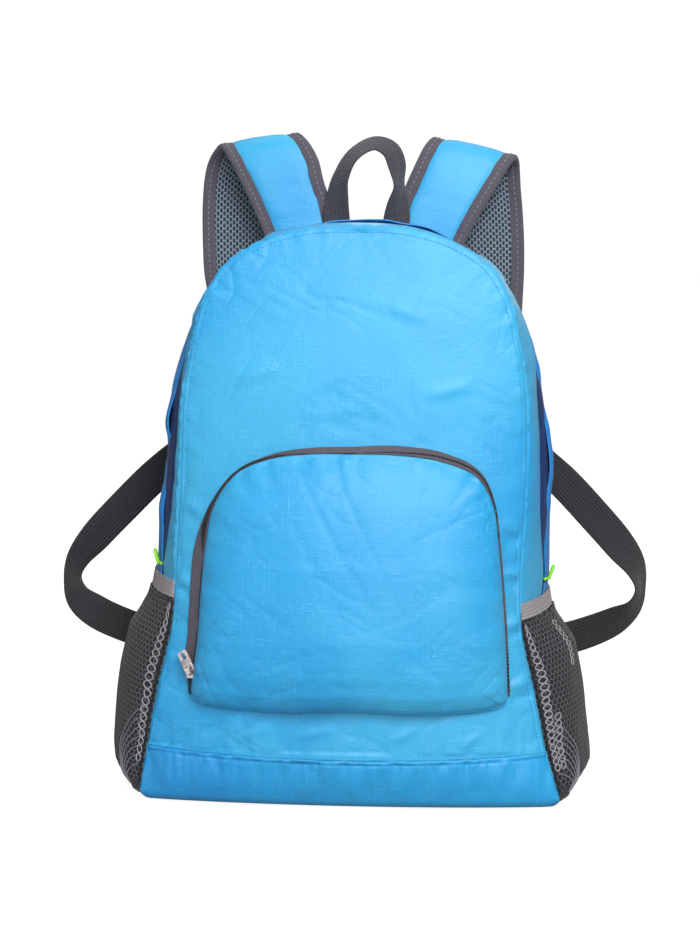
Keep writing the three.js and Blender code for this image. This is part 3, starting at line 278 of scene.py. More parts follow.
def creases(x, y, depth, size, turn, seed):
    """Narrow creases that run one way, in patches."""
    along = x * math.cos(turn) + y * math.sin(turn)
    across = y * math.cos(turn) - x * math.sin(turn)
    wave = np.abs(soft_noise(along / (3.5 * size), across / size, seed))
    patch = np.clip(soft_noise(x / (4 * size), y / (4 * size), seed + 1) + 0.3, 0, 1)
    return -depth * (1 - wave) ** 7 * patch


def seam_arrays(across, up):
    rows = list(range(TOP + 1)) + list(range(TOP - 1, -1, -1))
    sides = [-1] * (TOP + 1) + [1] * TOP
    points = []
    for row, side in zip(rows, sides):
        z = ARCH[row][up] * BODY_HEIGHT
        shift = np.interp(z, SHIFT_UP, SHIFT_LEFT if side < 0 else SHIFT_RIGHT)
        if side < 0 and across == 2:
            shift += np.interp(z, SHIFT_UP, SHIFT_REAR_LEFT)
        points.append((side * ARCH[row][across] * HALF_WIDTH + shift, 0, z))
    return points


FRONT_POINTS = seam_arrays(0, 1)
BACK_POINTS = seam_arrays(2, 3)
BULGES = np.array([ARCH[row][4] for row in list(range(TOP + 1)) + list(range(TOP - 1, -1, -1))])


def seam_depth(z):
    return BASE_DEPTH + (TOP_DEPTH - BASE_DEPTH) * z / BODY_HEIGHT


def front_seam(u):
    p = catmull(FRONT_POINTS, u / (2 * TOP))
    p[:, 1] = BACK_Y - seam_depth(p[:, 2])
    return p


def back_seam(u):
    p = catmull(BACK_POINTS, u / (2 * TOP))
    p[:, 1] = BACK_Y
    return p


def outward(u):
    step = 0.02
    a = front_seam(np.maximum(0, u - step))
    b = front_seam(np.minimum(2 * TOP, u + step))
    way = np.stack([a[:, 2] - b[:, 2], 0 * u, b[:, 0] - a[:, 0]], axis=1)
    return way / np.linalg.norm(way, axis=1)[:, None]


def gusset(u, t, lift=0.0):
    """Points of the strip round the arch: t runs from the front seam to the back seam."""
    u, t = np.broadcast_arrays(np.asarray(u, float), np.asarray(t, float))
    shape = u.shape
    u, t = u.ravel(), t.ravel()
    p = front_seam(u) * (1 - t)[:, None] + back_seam(u) * t[:, None]
    bulge = smooth_table(np.arange(2 * TOP + 1), BULGES, u, 0.02) * GUSSET_BULGE
    swell = np.clip(np.sin(math.pi * t), 0, 1) ** GUSSET_ROUND * bulge + np.broadcast_to(lift, shape).ravel()
    return (p + outward(u) * swell[:, None]).reshape(shape + (3,))


_seam_u = np.linspace(0, TOP, 801)
_seam = front_seam(_seam_u)
_right_seam = front_seam(2 * TOP - _seam_u)
_whole_seam = front_seam(np.linspace(0, 2 * TOP, 1201))
_seam_length = np.concatenate([[0], np.cumsum(np.linalg.norm(np.diff(_whole_seam, axis=0), axis=1))])


def seam_width(x, z):
    left = np.interp(z, _seam[:, 2], -_seam[:, 0])
    right = np.interp(z, _right_seam[:, 2], _right_seam[:, 0])
    return np.where(x < 0, left, right)


def front_y(x, z):
    width = np.maximum(1, seam_width(x, z))
    share = np.minimum(1, np.abs(x) / width)
    crown = smooth_table(CROWN_UP, CROWN_SHARE, z / BODY_HEIGHT) * FRONT_CROWN
    return BACK_Y - seam_depth(z) - crown * (1 - share * share) ** CROWN_POWER


def front_normals(x, z):
    """Outward directions of the front panel's even shape."""
    step = 1.5
    across = (front_y(x + step, z) - front_y(x - step, z)) / (2 * step)
    up = (front_y(x, z + step) - front_y(x, z - step)) / (2 * step)
    n = np.stack([np.clip(across, -1.5, 1.5), -np.ones_like(x), np.clip(up, -1.5, 1.5)], axis=-1)
    return n / np.linalg.norm(n, axis=-1, keepdims=True)


def nearest(points, path, lengths):
    """Distance in x and z from each point to a path, and how far along the path that is."""
    flat = points.reshape(-1, 3)
    away = np.empty(len(flat))
    along = np.empty(len(flat))
    for start in range(0, len(flat), 4000):
        part = flat[start:start + 4000]
        gap = (part[:, None, 0] - path[None, :, 0]) ** 2 + (part[:, None, 2] - path[None, :, 2]) ** 2
        best = gap.argmin(axis=1)
        away[start:start + 4000] = np.sqrt(gap[np.arange(len(part)), best])
        along[start:start + 4000] = lengths[best]
    return away.reshape(points.shape[:2]), along.reshape(points.shape[:2])


def coons(bottom, top, left, right):
    """A grid that fills four edges. bottom and top run left to right, the sides run up."""
    u = np.linspace(0, 1, len(bottom))[None, :, None]
    v = np.linspace(0, 1, len(left))[:, None, None]
    p = bottom[None] * (1 - v) + top[None] * v + left[:, None] * (1 - u) + right[:, None] * u
    corners = bottom[0] * (1 - u) * (1 - v) + bottom[-1] * u * (1 - v)
    corners = corners + top[0] * (1 - u) * v + top[-1] * u * v
    return p - corners


def relax(grid, times):
    """Evens out a grid, with its edges held."""
    g = grid.copy()
    for _ in range(times):
        g[1:-1, 1:-1] = (g[:-2, 1:-1] + g[2:, 1:-1] + g[1:-1, :-2] + g[1:-1, 2:]) / 4
    return g


def grid_normals(grid, outside):
    """Unit normals of a grid on the side that outside, a direction or one for each point, shows."""
    down = np.gradient(grid, axis=0)
    across = np.gradient(grid, axis=1)
    n = np.cross(down, across)
    n /= np.maximum(np.linalg.norm(n, axis=2, keepdims=True), 1e-9)
    if np.sum(n * outside) < 0:
        n = -n
    return n


def lengths_along(grid, axis):
    """Distance along the lines of a grid, averaged over them, in metres."""
    steps = np.linalg.norm(np.diff(grid, axis=axis), axis=2).mean(axis=1 - axis)
    return np.concatenate([[0], np.cumsum(steps)]) * MM


def own_map(grid):
    """Flat cloth coordinates of a grid, in metres."""
    rows, cols = grid.shape[:2]
    u = np.broadcast_to(lengths_along(grid, 1)[None, :], (rows, cols))
    v = np.broadcast_to(lengths_along(grid, 0)[:, None], (rows, cols))
    return np.stack([u, v], axis=2)


def link_object(name, mesh):
    obj = bpy.data.objects.new(name, mesh)
    bpy.context.scene.collection.objects.link(obj)
    return obj


def only(obj):
    """Selects one object and makes it the active one."""
    bpy.ops.object.select_all(action="DESELECT")
    obj.select_set(True)
    bpy.context.view_layer.objects.active = obj


def apply_modifier(obj, kind, **settings):
    only(obj)
    modifier = obj.modifiers.new(kind, kind)
    for key, value in settings.items():
        setattr(modifier, key, value)
    bpy.ops.object.modifier_apply(modifier=modifier.name)


def mesh_from(name, corners, faces, uvs, materials):
    """A smooth mesh with a cloth map: uvs holds one pair for each face corner."""
    mesh = bpy.data.meshes.new(name)
    mesh.from_pydata(corners.tolist(), [], faces.tolist())
    layer = mesh.uv_layers.new(name="Cloth")
    layer.data.foreach_set("uv", uvs.ravel())
    for material in materials:
        mesh.materials.append(material)
    mesh.shade_smooth()
    return link_object(name, mesh)


def cloth(name, grid, outside, material, thickness=CLOTH, uv=None):
    """A sheet of cloth through a grid of points, with its thickness on the inner side."""
    rows, cols = grid.shape[:2]
    index = np.arange(rows * cols).reshape(rows, cols)
    quads = np.stack([index[:-1, :-1], index[:-1, 1:], index[1:, 1:], index[1:, :-1]], axis=-1).reshape(-1, 4)
    normal = np.cross(np.gradient(grid, axis=1), np.gradient(grid, axis=0))
    if np.sum(normal * outside) < 0:
        quads = quads[:, ::-1]
    flat = (own_map(grid) if uv is None else uv).reshape(-1, 2)
    obj = mesh_from(name, to_world(grid.reshape(-1, 3)), quads, flat[quads.ravel()], [material])
    apply_modifier(obj, "SOLIDIFY", thickness=thickness * MM, offset=-1)
    return obj


def rod(name, rings, materials, slots=None, widths=None):
    """A closed body through rings of the same number of points, with a map along it and round it."""
    count, sides = rings.shape[:2]
    index = np.arange(count * sides).reshape(count, sides)
    after = np.roll(index, -1, axis=1)
    quads = np.stack([index[:-1], after[:-1], after[1:], index[1:]], axis=-1).reshape(-1, 4)
    along = np.concatenate([[0], np.cumsum(np.linalg.norm(np.diff(rings.mean(axis=1), axis=0), axis=1))]) * MM
    if widths is None:
        around = np.linalg.norm(rings[0] - np.roll(rings[0], -1, axis=0), axis=1)
        widths = np.concatenate([[0], np.cumsum(around)]) * MM
    uv = np.empty((count - 1, sides, 4, 2))
    uv[..., 0, 0] = uv[..., 1, 0] = along[:-1, None]
    uv[..., 2, 0] = uv[..., 3, 0] = along[1:, None]
    uv[..., 0, 1] = uv[..., 3, 1] = widths[None, :-1]
    uv[..., 1, 1] = uv[..., 2, 1] = widths[None, 1:]
    obj = mesh_from(name, to_world(rings.reshape(-1, 3)), quads, uv.reshape(-1, 2), materials)
    bm = bmesh.new()
    bm.from_mesh(obj.data)
    bm.verts.ensure_lookup_table()
    bm.faces.ensure_lookup_table()
    if slots is not None:
        for k, face in enumerate(bm.faces):
            face.material_index = slots[k % sides]
    for ring in (index[0], index[-1]):
        bm.faces.new([bm.verts[i] for i in ring])
    bmesh.ops.recalc_face_normals(bm, faces=bm.faces)
    bm.to_mesh(obj.data)
    bm.free()
    obj.data.shade_smooth()
    return obj


def ribbon_frames(points, places, wide_way):
    """Origin, width, face and length directions along a curve, for flat bands."""
    origin = catmull(points, places)
    along = catmull(points, places + 1e-3) - catmull(points, places - 1e-3)
    along /= np.linalg.norm(along, axis=1)[:, None]
    wide = wide_way(along)
    wide = wide - along * np.sum(wide * along, axis=1)[:, None]
    wide /= np.linalg.norm(wide, axis=1)[:, None]
    return origin, wide, np.cross(along, wide), along


def turned_width(along, degrees):
    """Width direction of a flat band whose face is turned from the front."""
    turn = np.radians(degrees)[:, None]
    flat = np.cross(along, [0, 1, 0])
    flat /= np.linalg.norm(flat, axis=1)[:, None]
    return flat * np.cos(turn) + np.array([0, 1, 0]) * np.sin(turn)


def dress(obj, body, slot, *nodes):
    """Puts a finished piece on its body and hides the solids it stands for; the slot it is given is not used.
    """
    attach(obj, body)
    if nodes:
        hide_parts(*nodes)
    return obj


# Materials


class Nodes:
    """Adds and joins the nodes of one material or group."""

    def __init__(self, tree):
        self.tree = tree

    def add(self, kind, **settings):
        node = self.tree.nodes.new(kind)
        for key, value in settings.items():
            setattr(node, key, value)
        return node

    def put(self, value, socket):
        if isinstance(value, bpy.types.NodeSocket):
            self.tree.links.new(value, socket)
        else:
            socket.default_value = value

    def math(self, operation, a, b=0.0, c=0.0):
        node = self.add("ShaderNodeMath", operation=operation)
        for value, socket in zip((a, b, c), node.inputs):
            self.put(value, socket)
        return node.outputs[0]

    def range(self, value, low, high, start=0.0, end=1.0, smooth=True):
        kind = "SMOOTHSTEP" if smooth else "LINEAR"
        node = self.add("ShaderNodeMapRange", interpolation_type=kind)
        for item, socket in zip((value, low, high, start, end), node.inputs):
            self.put(item, socket)
        return node.outputs["Result"]

    def mix(self, share, a, b, blend="MIX"):
        node = self.add("ShaderNodeMix", data_type="RGBA", blend_type=blend)
        self.put(share, node.inputs["Factor"])
        self.put(a, node.inputs["A"] if isinstance(a, float) else node.inputs[6])
        self.put(b, node.inputs[7])
        return node.outputs[2]

    def noise(self, vector, scale, detail=2.0, roughness=0.5):
        node = self.add("ShaderNodeTexNoise")
        self.put(vector, node.inputs["Vector"])
        self.put(scale, node.inputs["Scale"])
        self.put(detail, node.inputs["Detail"])
        self.put(roughness, node.inputs["Roughness"])
        return node.outputs["Fac"]

    def group(self, tree, **values):
        node = self.add("ShaderNodeGroup", node_tree=tree)
        for key, value in values.items():
            self.put(value, node.inputs[key.replace("_", " ")])
        return node.outputs


def new_group(name, inputs, outputs):
    tree = bpy.data.node_groups.new(name, "ShaderNodeTree")
    for label, kind in inputs:
        tree.interface.new_socket(name=label, in_out="INPUT", socket_type=kind)
    for label, kind in outputs:
        tree.interface.new_socket(name=label, in_out="OUTPUT", socket_type=kind)
    nodes = Nodes(tree)
    source = nodes.add("NodeGroupInput")
    result = nodes.add("NodeGroupOutput")
    return tree, nodes, source.outputs, result.inputs


FLOAT = "NodeSocketFloat"
VECTOR = "NodeSocketVector"


def split(nodes, vector):
    node = nodes.add("ShaderNodeSeparateXYZ")
    nodes.put(vector, node.inputs[0])
    return node.outputs


def make_ripstop_weave():
    """Fine plain weave, thicker threads in a square grid that shows in patches, and short crinkles."""
    tree, n, given, out = new_group(
        "Ripstop weave", [("Vector", VECTOR), ("Grid pitch", FLOAT), ("Thread pitch", FLOAT)],
        [("Grid", FLOAT), ("Crinkle", FLOAT), ("Height", FLOAT)],
    )
    place = split(n, given["Vector"])
    lines = []
    threads = []
    for axis in (0, 1):
        cell = n.math("FRACT", n.math("DIVIDE", place[axis], given["Grid pitch"]))
        edge = n.math("ABSOLUTE", n.math("SUBTRACT", cell, 0.5))
        lines.append(n.range(edge, 0.42, 0.485))
        turn = n.math("DIVIDE", place[axis], given["Thread pitch"])
        threads.append(n.math("SINE", n.math("MULTIPLY", turn, TAU)))
    patches = n.range(n.noise(given["Vector"], 38.0, 3.0), 0.44, 0.64, 0.12, 1.0)
    broken = n.range(n.noise(given["Vector"], 240.0, 2.0), 0.40, 0.60, 0.1, 1.0)
    grid = n.math("MULTIPLY", n.math("MAXIMUM", lines[0], lines[1]), n.math("MULTIPLY", patches, broken))
    streaks = []
    for scale in ((420.0, 110.0, 1.0), (110.0, 420.0, 1.0)):
        mapping = n.add("ShaderNodeMapping")
        n.put(given["Vector"], mapping.inputs["Vector"])
        mapping.inputs["Scale"].default_value = scale
        streaks.append(n.range(n.noise(mapping.outputs[0], 1.0, 2.0), 0.54, 0.72))
    where = n.range(n.noise(given["Vector"], 26.0, 2.0), 0.42, 0.62, 0.15, 1.0)
    crinkle = n.math("MULTIPLY", n.math("MAXIMUM", streaks[0], streaks[1]), where)
    weave = n.math("MULTIPLY", threads[0], threads[1])
    n.put(grid, out["Grid"])
    n.put(crinkle, out["Crinkle"])
    raised = n.math("ADD", n.math("MULTIPLY", grid, 0.7), n.math("MULTIPLY", crinkle, 0.9))
    n.put(n.math("ADD", raised, n.math("MULTIPLY", weave, 0.2)), out["Height"])
    return tree


def make_cloth_tone():
    """Uneven lightness of dyed cloth: wide soft patches and fine flecks."""
    tree, n, given, out = new_group(
        "Cloth tone", [("Vector", VECTOR), ("Patch", FLOAT), ("Fleck", FLOAT), ("Amount", FLOAT)],
        [("Tone", FLOAT)],
    )
    wide = n.noise(given["Vector"], given["Patch"], 3.0)
    fine = n.noise(given["Vector"], given["Fleck"], 2.0)
    both = n.math("ADD", n.math("MULTIPLY", wide, 0.6), n.math("MULTIPLY", fine, 0.4))
    centred = n.math("SUBTRACT", both, 0.5)
    n.put(n.math("ADD", 1.0, n.math("MULTIPLY", centred, given["Amount"])), out["Tone"])
    return tree


def make_hole_lattice():
    """Round holes in rows that are half a pitch out of step, as in knitted mesh."""
    tree, n, given, out = new_group(
        "Hole lattice", [("Vector", VECTOR), ("Pitch", FLOAT), ("Stretch", FLOAT), ("Hole size", FLOAT)],
        [("Hole", FLOAT), ("Height", FLOAT)],
    )
    place = split(n, given["Vector"])
    x = n.math("DIVIDE", place[0], given["Pitch"])
    row = n.math("MULTIPLY", given["Pitch"], n.math("MULTIPLY", given["Stretch"], math.sqrt(3)))
    y = n.math("DIVIDE", place[1], row)
    found = []
    for shift in (0.0, 0.5):
        px = n.math("SUBTRACT", n.math("FRACT", n.math("ADD", x, shift)), 0.5)
        py = n.math("SUBTRACT", n.math("FRACT", n.math("ADD", y, shift)), 0.5)
        py = n.math("MULTIPLY", py, math.sqrt(3))
        squares = n.math("ADD", n.math("MULTIPLY", px, px), n.math("MULTIPLY", py, py))
        found.append(n.math("SQRT", squares))
    near = n.math("MINIMUM", found[0], found[1])
    rim = n.math("ADD", given["Hole size"], 0.12)
    solid = n.range(near, given["Hole size"], rim)
    n.put(n.math("SUBTRACT", 1.0, solid), out["Hole"])
    n.put(n.math("MULTIPLY", solid, n.range(near, 0.75, 0.25, 0.5, 1.0)), out["Height"])
    return tree


def make_webbing_weave():
    """Ribs along a woven band with the crossing threads between them; its Tone is painted shade in the
    grooves and painted highlight on the ribs.
    """
    tree, n, given, out = new_group(
        "Webbing weave", [("Vector", VECTOR), ("Rib pitch", FLOAT), ("Cross pitch", FLOAT)],
        [("Height", FLOAT), ("Tone", FLOAT)],
    )
    place = split(n, given["Vector"])
    rib = n.math("DIVIDE", place[1], given["Rib pitch"])
    cross = n.math("DIVIDE", place[0], given["Cross pitch"])
    odd = n.math("MULTIPLY", n.math("FLOOR", rib), 0.5)
    ridge = n.math("ABSOLUTE", n.math("SINE", n.math("MULTIPLY", rib, math.pi)))
    thread = n.math("SINE", n.math("MULTIPLY", n.math("ADD", cross, odd), TAU))
    height = n.math("ADD", n.math("MULTIPLY", ridge, 0.6), n.math("MULTIPLY", thread, 0.3))
    n.put(height, out["Height"])
    n.put(n.range(height, -0.3, 0.9, 0.55, 1.25, False), out["Tone"])
    return tree


def make_metal_wear():
    """Fine scratches and dull patches of a small cast part."""
    tree, n, given, out = new_group(
        "Metal wear", [("Vector", VECTOR), ("Scale", FLOAT)], [("Dull", FLOAT), ("Height", FLOAT)],
    )
    patches = n.noise(given["Vector"], given["Scale"], 4.0, 0.6)
    scratches = n.noise(given["Vector"], n.math("MULTIPLY", given["Scale"], 7.0), 2.0, 0.7)
    n.put(n.range(patches, 0.35, 0.75), out["Dull"])
    n.put(scratches, out["Height"])
    return tree


RIPSTOP_WEAVE = make_ripstop_weave()
CLOTH_TONE = make_cloth_tone()
HOLE_LATTICE = make_hole_lattice()
WEBBING_WEAVE = make_webbing_weave()
METAL_WEAR = make_metal_wear()


def start_material(name, roughness, **constants):
    material = bpy.data.materials.new(name)
    material.use_nodes = True
    tree = material.node_tree
    shader = tree.nodes["Principled BSDF"]
    shader.inputs["Roughness"].default_value = roughness
    for key, value in constants.items():
        shader.inputs[key.replace("_", " ")].default_value = value
    nodes = Nodes(tree)
    place = nodes.add("ShaderNodeTexCoord").outputs
    return material, nodes, shader.inputs, place


def bump(nodes, height, depth, strength=1.0):
    node = nodes.add("ShaderNodeBump")
    node.inputs["Strength"].default_value = strength
    node.inputs["Distance"].default_value = depth
    nodes.put(height, node.inputs["Height"])
    return node.outputs["Normal"]


def tinted(nodes, colour, tone):
    return nodes.mix(1.0, (*colour, 1.0), grey(nodes, tone), "MULTIPLY")


def grey(nodes, value):
    node = nodes.add("ShaderNodeCombineColor")
    for socket in node.inputs[:3]:
        nodes.put(value, socket)
    return node.outputs[0]


def make_ripstop(name, colour, faded, light):
    """Coated nylon ripstop: bright, with a faint broken grid, crinkles painted paler as painted highlight,
    and a soft shine.
    """
    material, n, shader, place = start_material(name, 0.5, Sheen_Weight=0.05, Sheen_Roughness=0.5,
                                                Specular_IOR_Level=0.55)
    weave = n.group(RIPSTOP_WEAVE, Vector=place["UV"], Grid_pitch=0.0038, Thread_pitch=0.0008)
    tone = n.group(CLOTH_TONE, Vector=place["Object"], Patch=11.0, Fleck=420.0, Amount=0.30)
    fading = n.range(n.noise(place["Object"], 7.0, 2.0), 0.38, 0.62)
    dyed = n.mix(fading, (*colour, 1.0), (*faded, 1.0))
    base = n.mix(1.0, dyed, grey(n, tone["Tone"]), "MULTIPLY")
    # the grid is the cloth's pattern; the crinkles' paler colour is painted highlight
    pale = n.math("ADD", n.math("MULTIPLY", weave["Grid"], 0.35), n.math("MULTIPLY", weave["Crinkle"], 0.16))
    n.put(n.mix(pale, base, (*light, 1.0)), shader["Base Color"])
    slubs = n.noise(place["UV"], 900.0, 2.0)
    n.put(n.range(slubs, 0.3, 0.7, 0.36, 0.55), shader["Roughness"])
    height = n.math("ADD", weave["Height"], n.math("MULTIPLY", slubs, 0.5))
    n.put(bump(n, height, 0.00016), shader["Normal"])
    return material


def make_knit(name, colour, light, pitch, hole, stretch, hole_shade):
    """Knitted mesh: pale yarn on the rims, and the holes painted dark as painted shade of what lies behind
    them.
    """
    material, n, shader, place = start_material(name, 0.75, Sheen_Weight=0.1)
    lattice = n.group(HOLE_LATTICE, Vector=place["UV"], Pitch=pitch, Stretch=stretch, Hole_size=hole)
    tone = n.group(CLOTH_TONE, Vector=place["Object"], Patch=30.0, Fleck=700.0, Amount=0.5)
    yarn = n.noise(place["UV"], 2600.0, 2.0)
    rims = n.mix(n.range(yarn, 0.35, 0.7), (*colour, 1.0), (*light, 1.0))
    rims = n.mix(1.0, rims, grey(n, tone["Tone"]), "MULTIPLY")
    n.put(n.mix(lattice["Hole"], rims, (*hole_shade, 1.0)), shader["Base Color"])
    height = n.math("ADD", lattice["Height"], n.math("MULTIPLY", yarn, 0.25))
    n.put(bump(n, height, 0.0006), shader["Normal"])
    return material


def make_webbing(name, colour, rib, cross, depth, rib_shade_contrast):
    material, n, shader, place = start_material(name, 0.7, Sheen_Weight=0.15)
    weave = n.group(WEBBING_WEAVE, Vector=place["UV"], Rib_pitch=rib, Cross_pitch=cross)
    tone = n.group(CLOTH_TONE, Vector=place["Object"], Patch=40.0, Fleck=900.0, Amount=0.5)
    # painted shade in the grooves and painted highlight on the ribs, from the weave's Tone
    ribs = n.math("ADD", 1.0, n.math("MULTIPLY", n.math("SUBTRACT", weave["Tone"], 0.85), rib_shade_contrast))
    shade = n.math("MULTIPLY", n.math("MAXIMUM", ribs, 0.1), tone["Tone"])
    n.put(tinted(n, colour, shade), shader["Base Color"])
    n.put(bump(n, weave["Height"], depth), shader["Normal"])
    return material


def make_metal(name, colour):
    material, n, shader, place = start_material(name, 0.3, Metallic=1.0)
    wear = n.group(METAL_WEAR, Vector=place["Object"], Scale=260.0)
    n.put(n.mix(wear["Dull"], (*colour, 1.0), (*[c * 0.6 for c in colour], 1.0)), shader["Base Color"])
    n.put(n.range(wear["Dull"], 0.0, 1.0, 0.22, 0.45), shader["Roughness"])
    n.put(bump(n, wear["Height"], 0.00004), shader["Normal"])
    return material


def make_soft_plastic(name, colour, roughness):
    material, n, shader, place = start_material(name, roughness)
    tone = n.group(CLOTH_TONE, Vector=place["Object"], Patch=60.0, Fleck=1500.0, Amount=0.25)
    n.put(tinted(n, colour, tone["Tone"]), shader["Base Color"])
    grain = n.noise(place["Object"], 2500.0, 2.0)
    n.put(bump(n, grain, 0.00005), shader["Normal"])
    return material


AMBIENT = 0.27
FLOOR_GLOW = 0.9
SKY_BLUE = (0.014, 0.315, 0.64)
CYAN_BLUE = (0.035, 0.375, 0.66)
# pale colour for the ripstop grid pattern and the crinkles' painted highlight
LIGHT_BLUE = (0.10, 0.52, 0.80)
# painted shade: this deeper blue stands in for the shade on the rear strip behind the main zip
SHADED_DEEP_BLUE = (0.005, 0.205, 0.60)
# navy of the main zip tape: partly its own colour, partly painted shade of the gap between flap and rear
# strip
NAVY_AND_GAP_SHADE = (0.003, 0.022, 0.11)
# painted shade: a darker blue for the base band, which the lamps light less
SHADED_LOW_BLUE = (0.010, 0.27, 0.62)
MAUVE_GREY = (0.070, 0.063, 0.084)
HANDLE_GREY = (0.038, 0.036, 0.044)
PALE_GREY = (0.26, 0.24, 0.26)
KNIT_GREY = (0.034, 0.039, 0.049)
KNIT_LIGHT = (0.23, 0.225, 0.25)
KNIT_PALE = (0.30, 0.28, 0.30)
AIR_MESH = (0.13, 0.17, 0.215)
AIR_MESH_LIGHT = (0.40, 0.46, 0.54)
# painted shade in the mesh holes, for what lies behind them; the black also serves as the zip coil's own
# colour
HOLE_SHADE_TEAL = (0.010, 0.028, 0.045)
HOLE_SHADE_AND_COIL_BLACK = (0.005, 0.006, 0.008)
BLACK_YARN = (0.012, 0.0115, 0.015)
ELASTIC_GREY = (0.27, 0.245, 0.26)
THREAD_BLUE = (0.04, 0.33, 0.64)
LIME = (0.25, 0.72, 0.03)
ZINC = (0.55, 0.47, 0.47)

ripstop = make_ripstop("Ripstop", SKY_BLUE, CYAN_BLUE, LIGHT_BLUE)
ripstop_deep = make_ripstop("Shaded ripstop", SHADED_DEEP_BLUE, SHADED_DEEP_BLUE, SKY_BLUE)
shaded_ripstop_low = make_ripstop("Shaded lower ripstop", SHADED_LOW_BLUE, SKY_BLUE, LIGHT_BLUE)
shaded_zip_cloth = make_ripstop("Shaded zip tape", NAVY_AND_GAP_SHADE, NAVY_AND_GAP_SHADE, NAVY_AND_GAP_SHADE)
pocket_knit = make_knit("Pocket knit", KNIT_GREY, KNIT_LIGHT, 0.0042, 0.40, 1.0, HOLE_SHADE_AND_COIL_BLACK)
air_mesh = make_knit("Air mesh", AIR_MESH, AIR_MESH_LIGHT, 0.0046, 0.34, 0.62, HOLE_SHADE_TEAL)
binding_tape = make_webbing("Binding tape", MAUVE_GREY, 0.0015, 0.0012, 0.0003, 1.0)
elastic_tape = make_webbing("Elastic tape", ELASTIC_GREY, 0.0024, 0.0009, 0.0004, 1.1)
grey_webbing = make_webbing("Handle webbing", HANDLE_GREY, 0.0022, 0.0018, 0.0006, 1.5)
black_webbing = make_webbing("Black webbing", BLACK_YARN, 0.0024, 0.0018, 0.0006, 1.9)
coil_black = make_soft_plastic("Zip coil", HOLE_SHADE_AND_COIL_BLACK, 0.4)
pale_yarn = make_soft_plastic("Pale yarn", KNIT_PALE, 0.8)
net_yarn = make_soft_plastic("Net yarn", KNIT_LIGHT, 0.8)
zip_metal = make_metal("Zip metal", ZINC)
green_soft = make_soft_plastic("Green soft pull", LIME, 0.45)
black_plastic = make_soft_plastic("Black plastic", BLACK_YARN, 0.5)
blue_thread = make_soft_plastic("Blue thread", THREAD_BLUE, 0.6)
pale_thread = make_soft_plastic("Pale thread", PALE_GREY, 0.6)


# Body


def graded(count):
    """Places from 0 to 1 that lie closer together at both ends."""
    even = np.linspace(0, 1, count)
    return even - 0.08 * np.sin(TAU * even)


def welt(away, run, seed):
    """The raised edge beside a seam, drawn in by its stitches, with a groove behind it."""
    pucker = 0.8 + 0.45 * soft_noise(run / 3.2, 0 * run, seed)
    pucker += 0.25 * soft_noise(run / 11, 0 * run, seed + 1)
    ridge = 1.5 * np.exp(-((away - 1.7) / 1.1) ** 2) * pucker
    return ridge - 0.7 * np.exp(-((away - 4.2) / 0.9) ** 2)


# Single folds of the front panel: across and up at both ends, height, breadth
FRONT_FOLDS = (
    (103, 203, 121, 198, 1.8, 3.2), (105, 196, 120, 189, -1.5, 3.0), (107, 171, 122, 164, 2.0, 3.4),
    (107, 163, 121, 155, -1.6, 3.2), (109, 131, 124, 136, 1.8, 3.4), (109, 124, 126, 126, -1.5, 3.2),
    (112, 88, 131, 93, 1.9, 3.6), (113, 80, 133, 82, -1.5, 3.4), (-123, 161, -110, 158, 1.7, 3.2),
    (-122, 153, -110, 151, -1.4, 3.0), (-119, 215, -104, 209, 1.7, 3.4), (-118, 206, -104, 201, -1.4, 3.0),
    (-38, 52, -8, 60, 0.9, 3.4), (-70, 50, -52, 62, 0.8, 3.6), (30, 50, 50, 61, 0.9, 3.4),
    (78, 47, 98, 58, 0.9, 3.6), (-100, 50, -84, 64, -0.7, 3.4), (-36, 276, 6, 284, 1.0, 4.5),
    (46, 292, 84, 300, 1.5, 4.5), (-86, 300, -50, 312, 1.3, 5.0), (14, 356, 52, 344, 1.4, 4.5),
)


def single_folds(x, z, table):
    """Soft ridges and grooves, each along its own short line."""
    rise = 0 * x
    for x1, z1, x2, z2, height, breadth in table:
        length = math.hypot(x2 - x1, z2 - z1)
        along = ((x - x1) * (x2 - x1) + (z - z1) * (z2 - z1)) / length
        across = ((z - z1) * (x2 - x1) - (x - x1) * (z2 - z1)) / length
        middle = np.clip(1 - (2 * along / length - 1) ** 2, 0, 1)
        rise += height * np.exp(-(across / breadth) ** 2) * middle
    return rise


def front_rise(p):
    """Height of the front panel's folds over its even shape."""
    away, along = nearest(p, _whole_seam, _seam_length)
    x, z = p[..., 0], p[..., 2]
    rise = gathers(along, away, 1.1, 9, 9, 3) + gathers(along, away, 0.8, 24, 26, 5)
    rise += dents(x, z, 1.0, 75, 11) * np.clip(away / 30, 0, 1)
    rise += creases(x, z, 0.6, 24, 0.6, 21) + creases(x, z, 0.55, 20, -0.9, 23)
    rise += creases(x, z, 0.8, 9, 1.0, 25) + creases(x, z, 0.7, 8, -0.5, 27) + single_folds(x, z, FRONT_FOLDS)
    low = np.maximum(0, z - 41)
    rise += gathers(x, low, 1.3, 8, 12, 31)
    return rise * np.clip(np.minimum(away, low + 0.5) / 3, 0, 1)


def bottom_seam(places):
    left, right = front_seam(np.array([float(SEAM_ROW), 2.0 * TOP - SEAM_ROW]))
    share = 2 * places - 1
    x = left[0] + (right[0] - left[0]) * places
    z = left[2] - SEAM_SAG * (1 - share**2)
    return np.stack([x, front_y(x, z), z], axis=1)


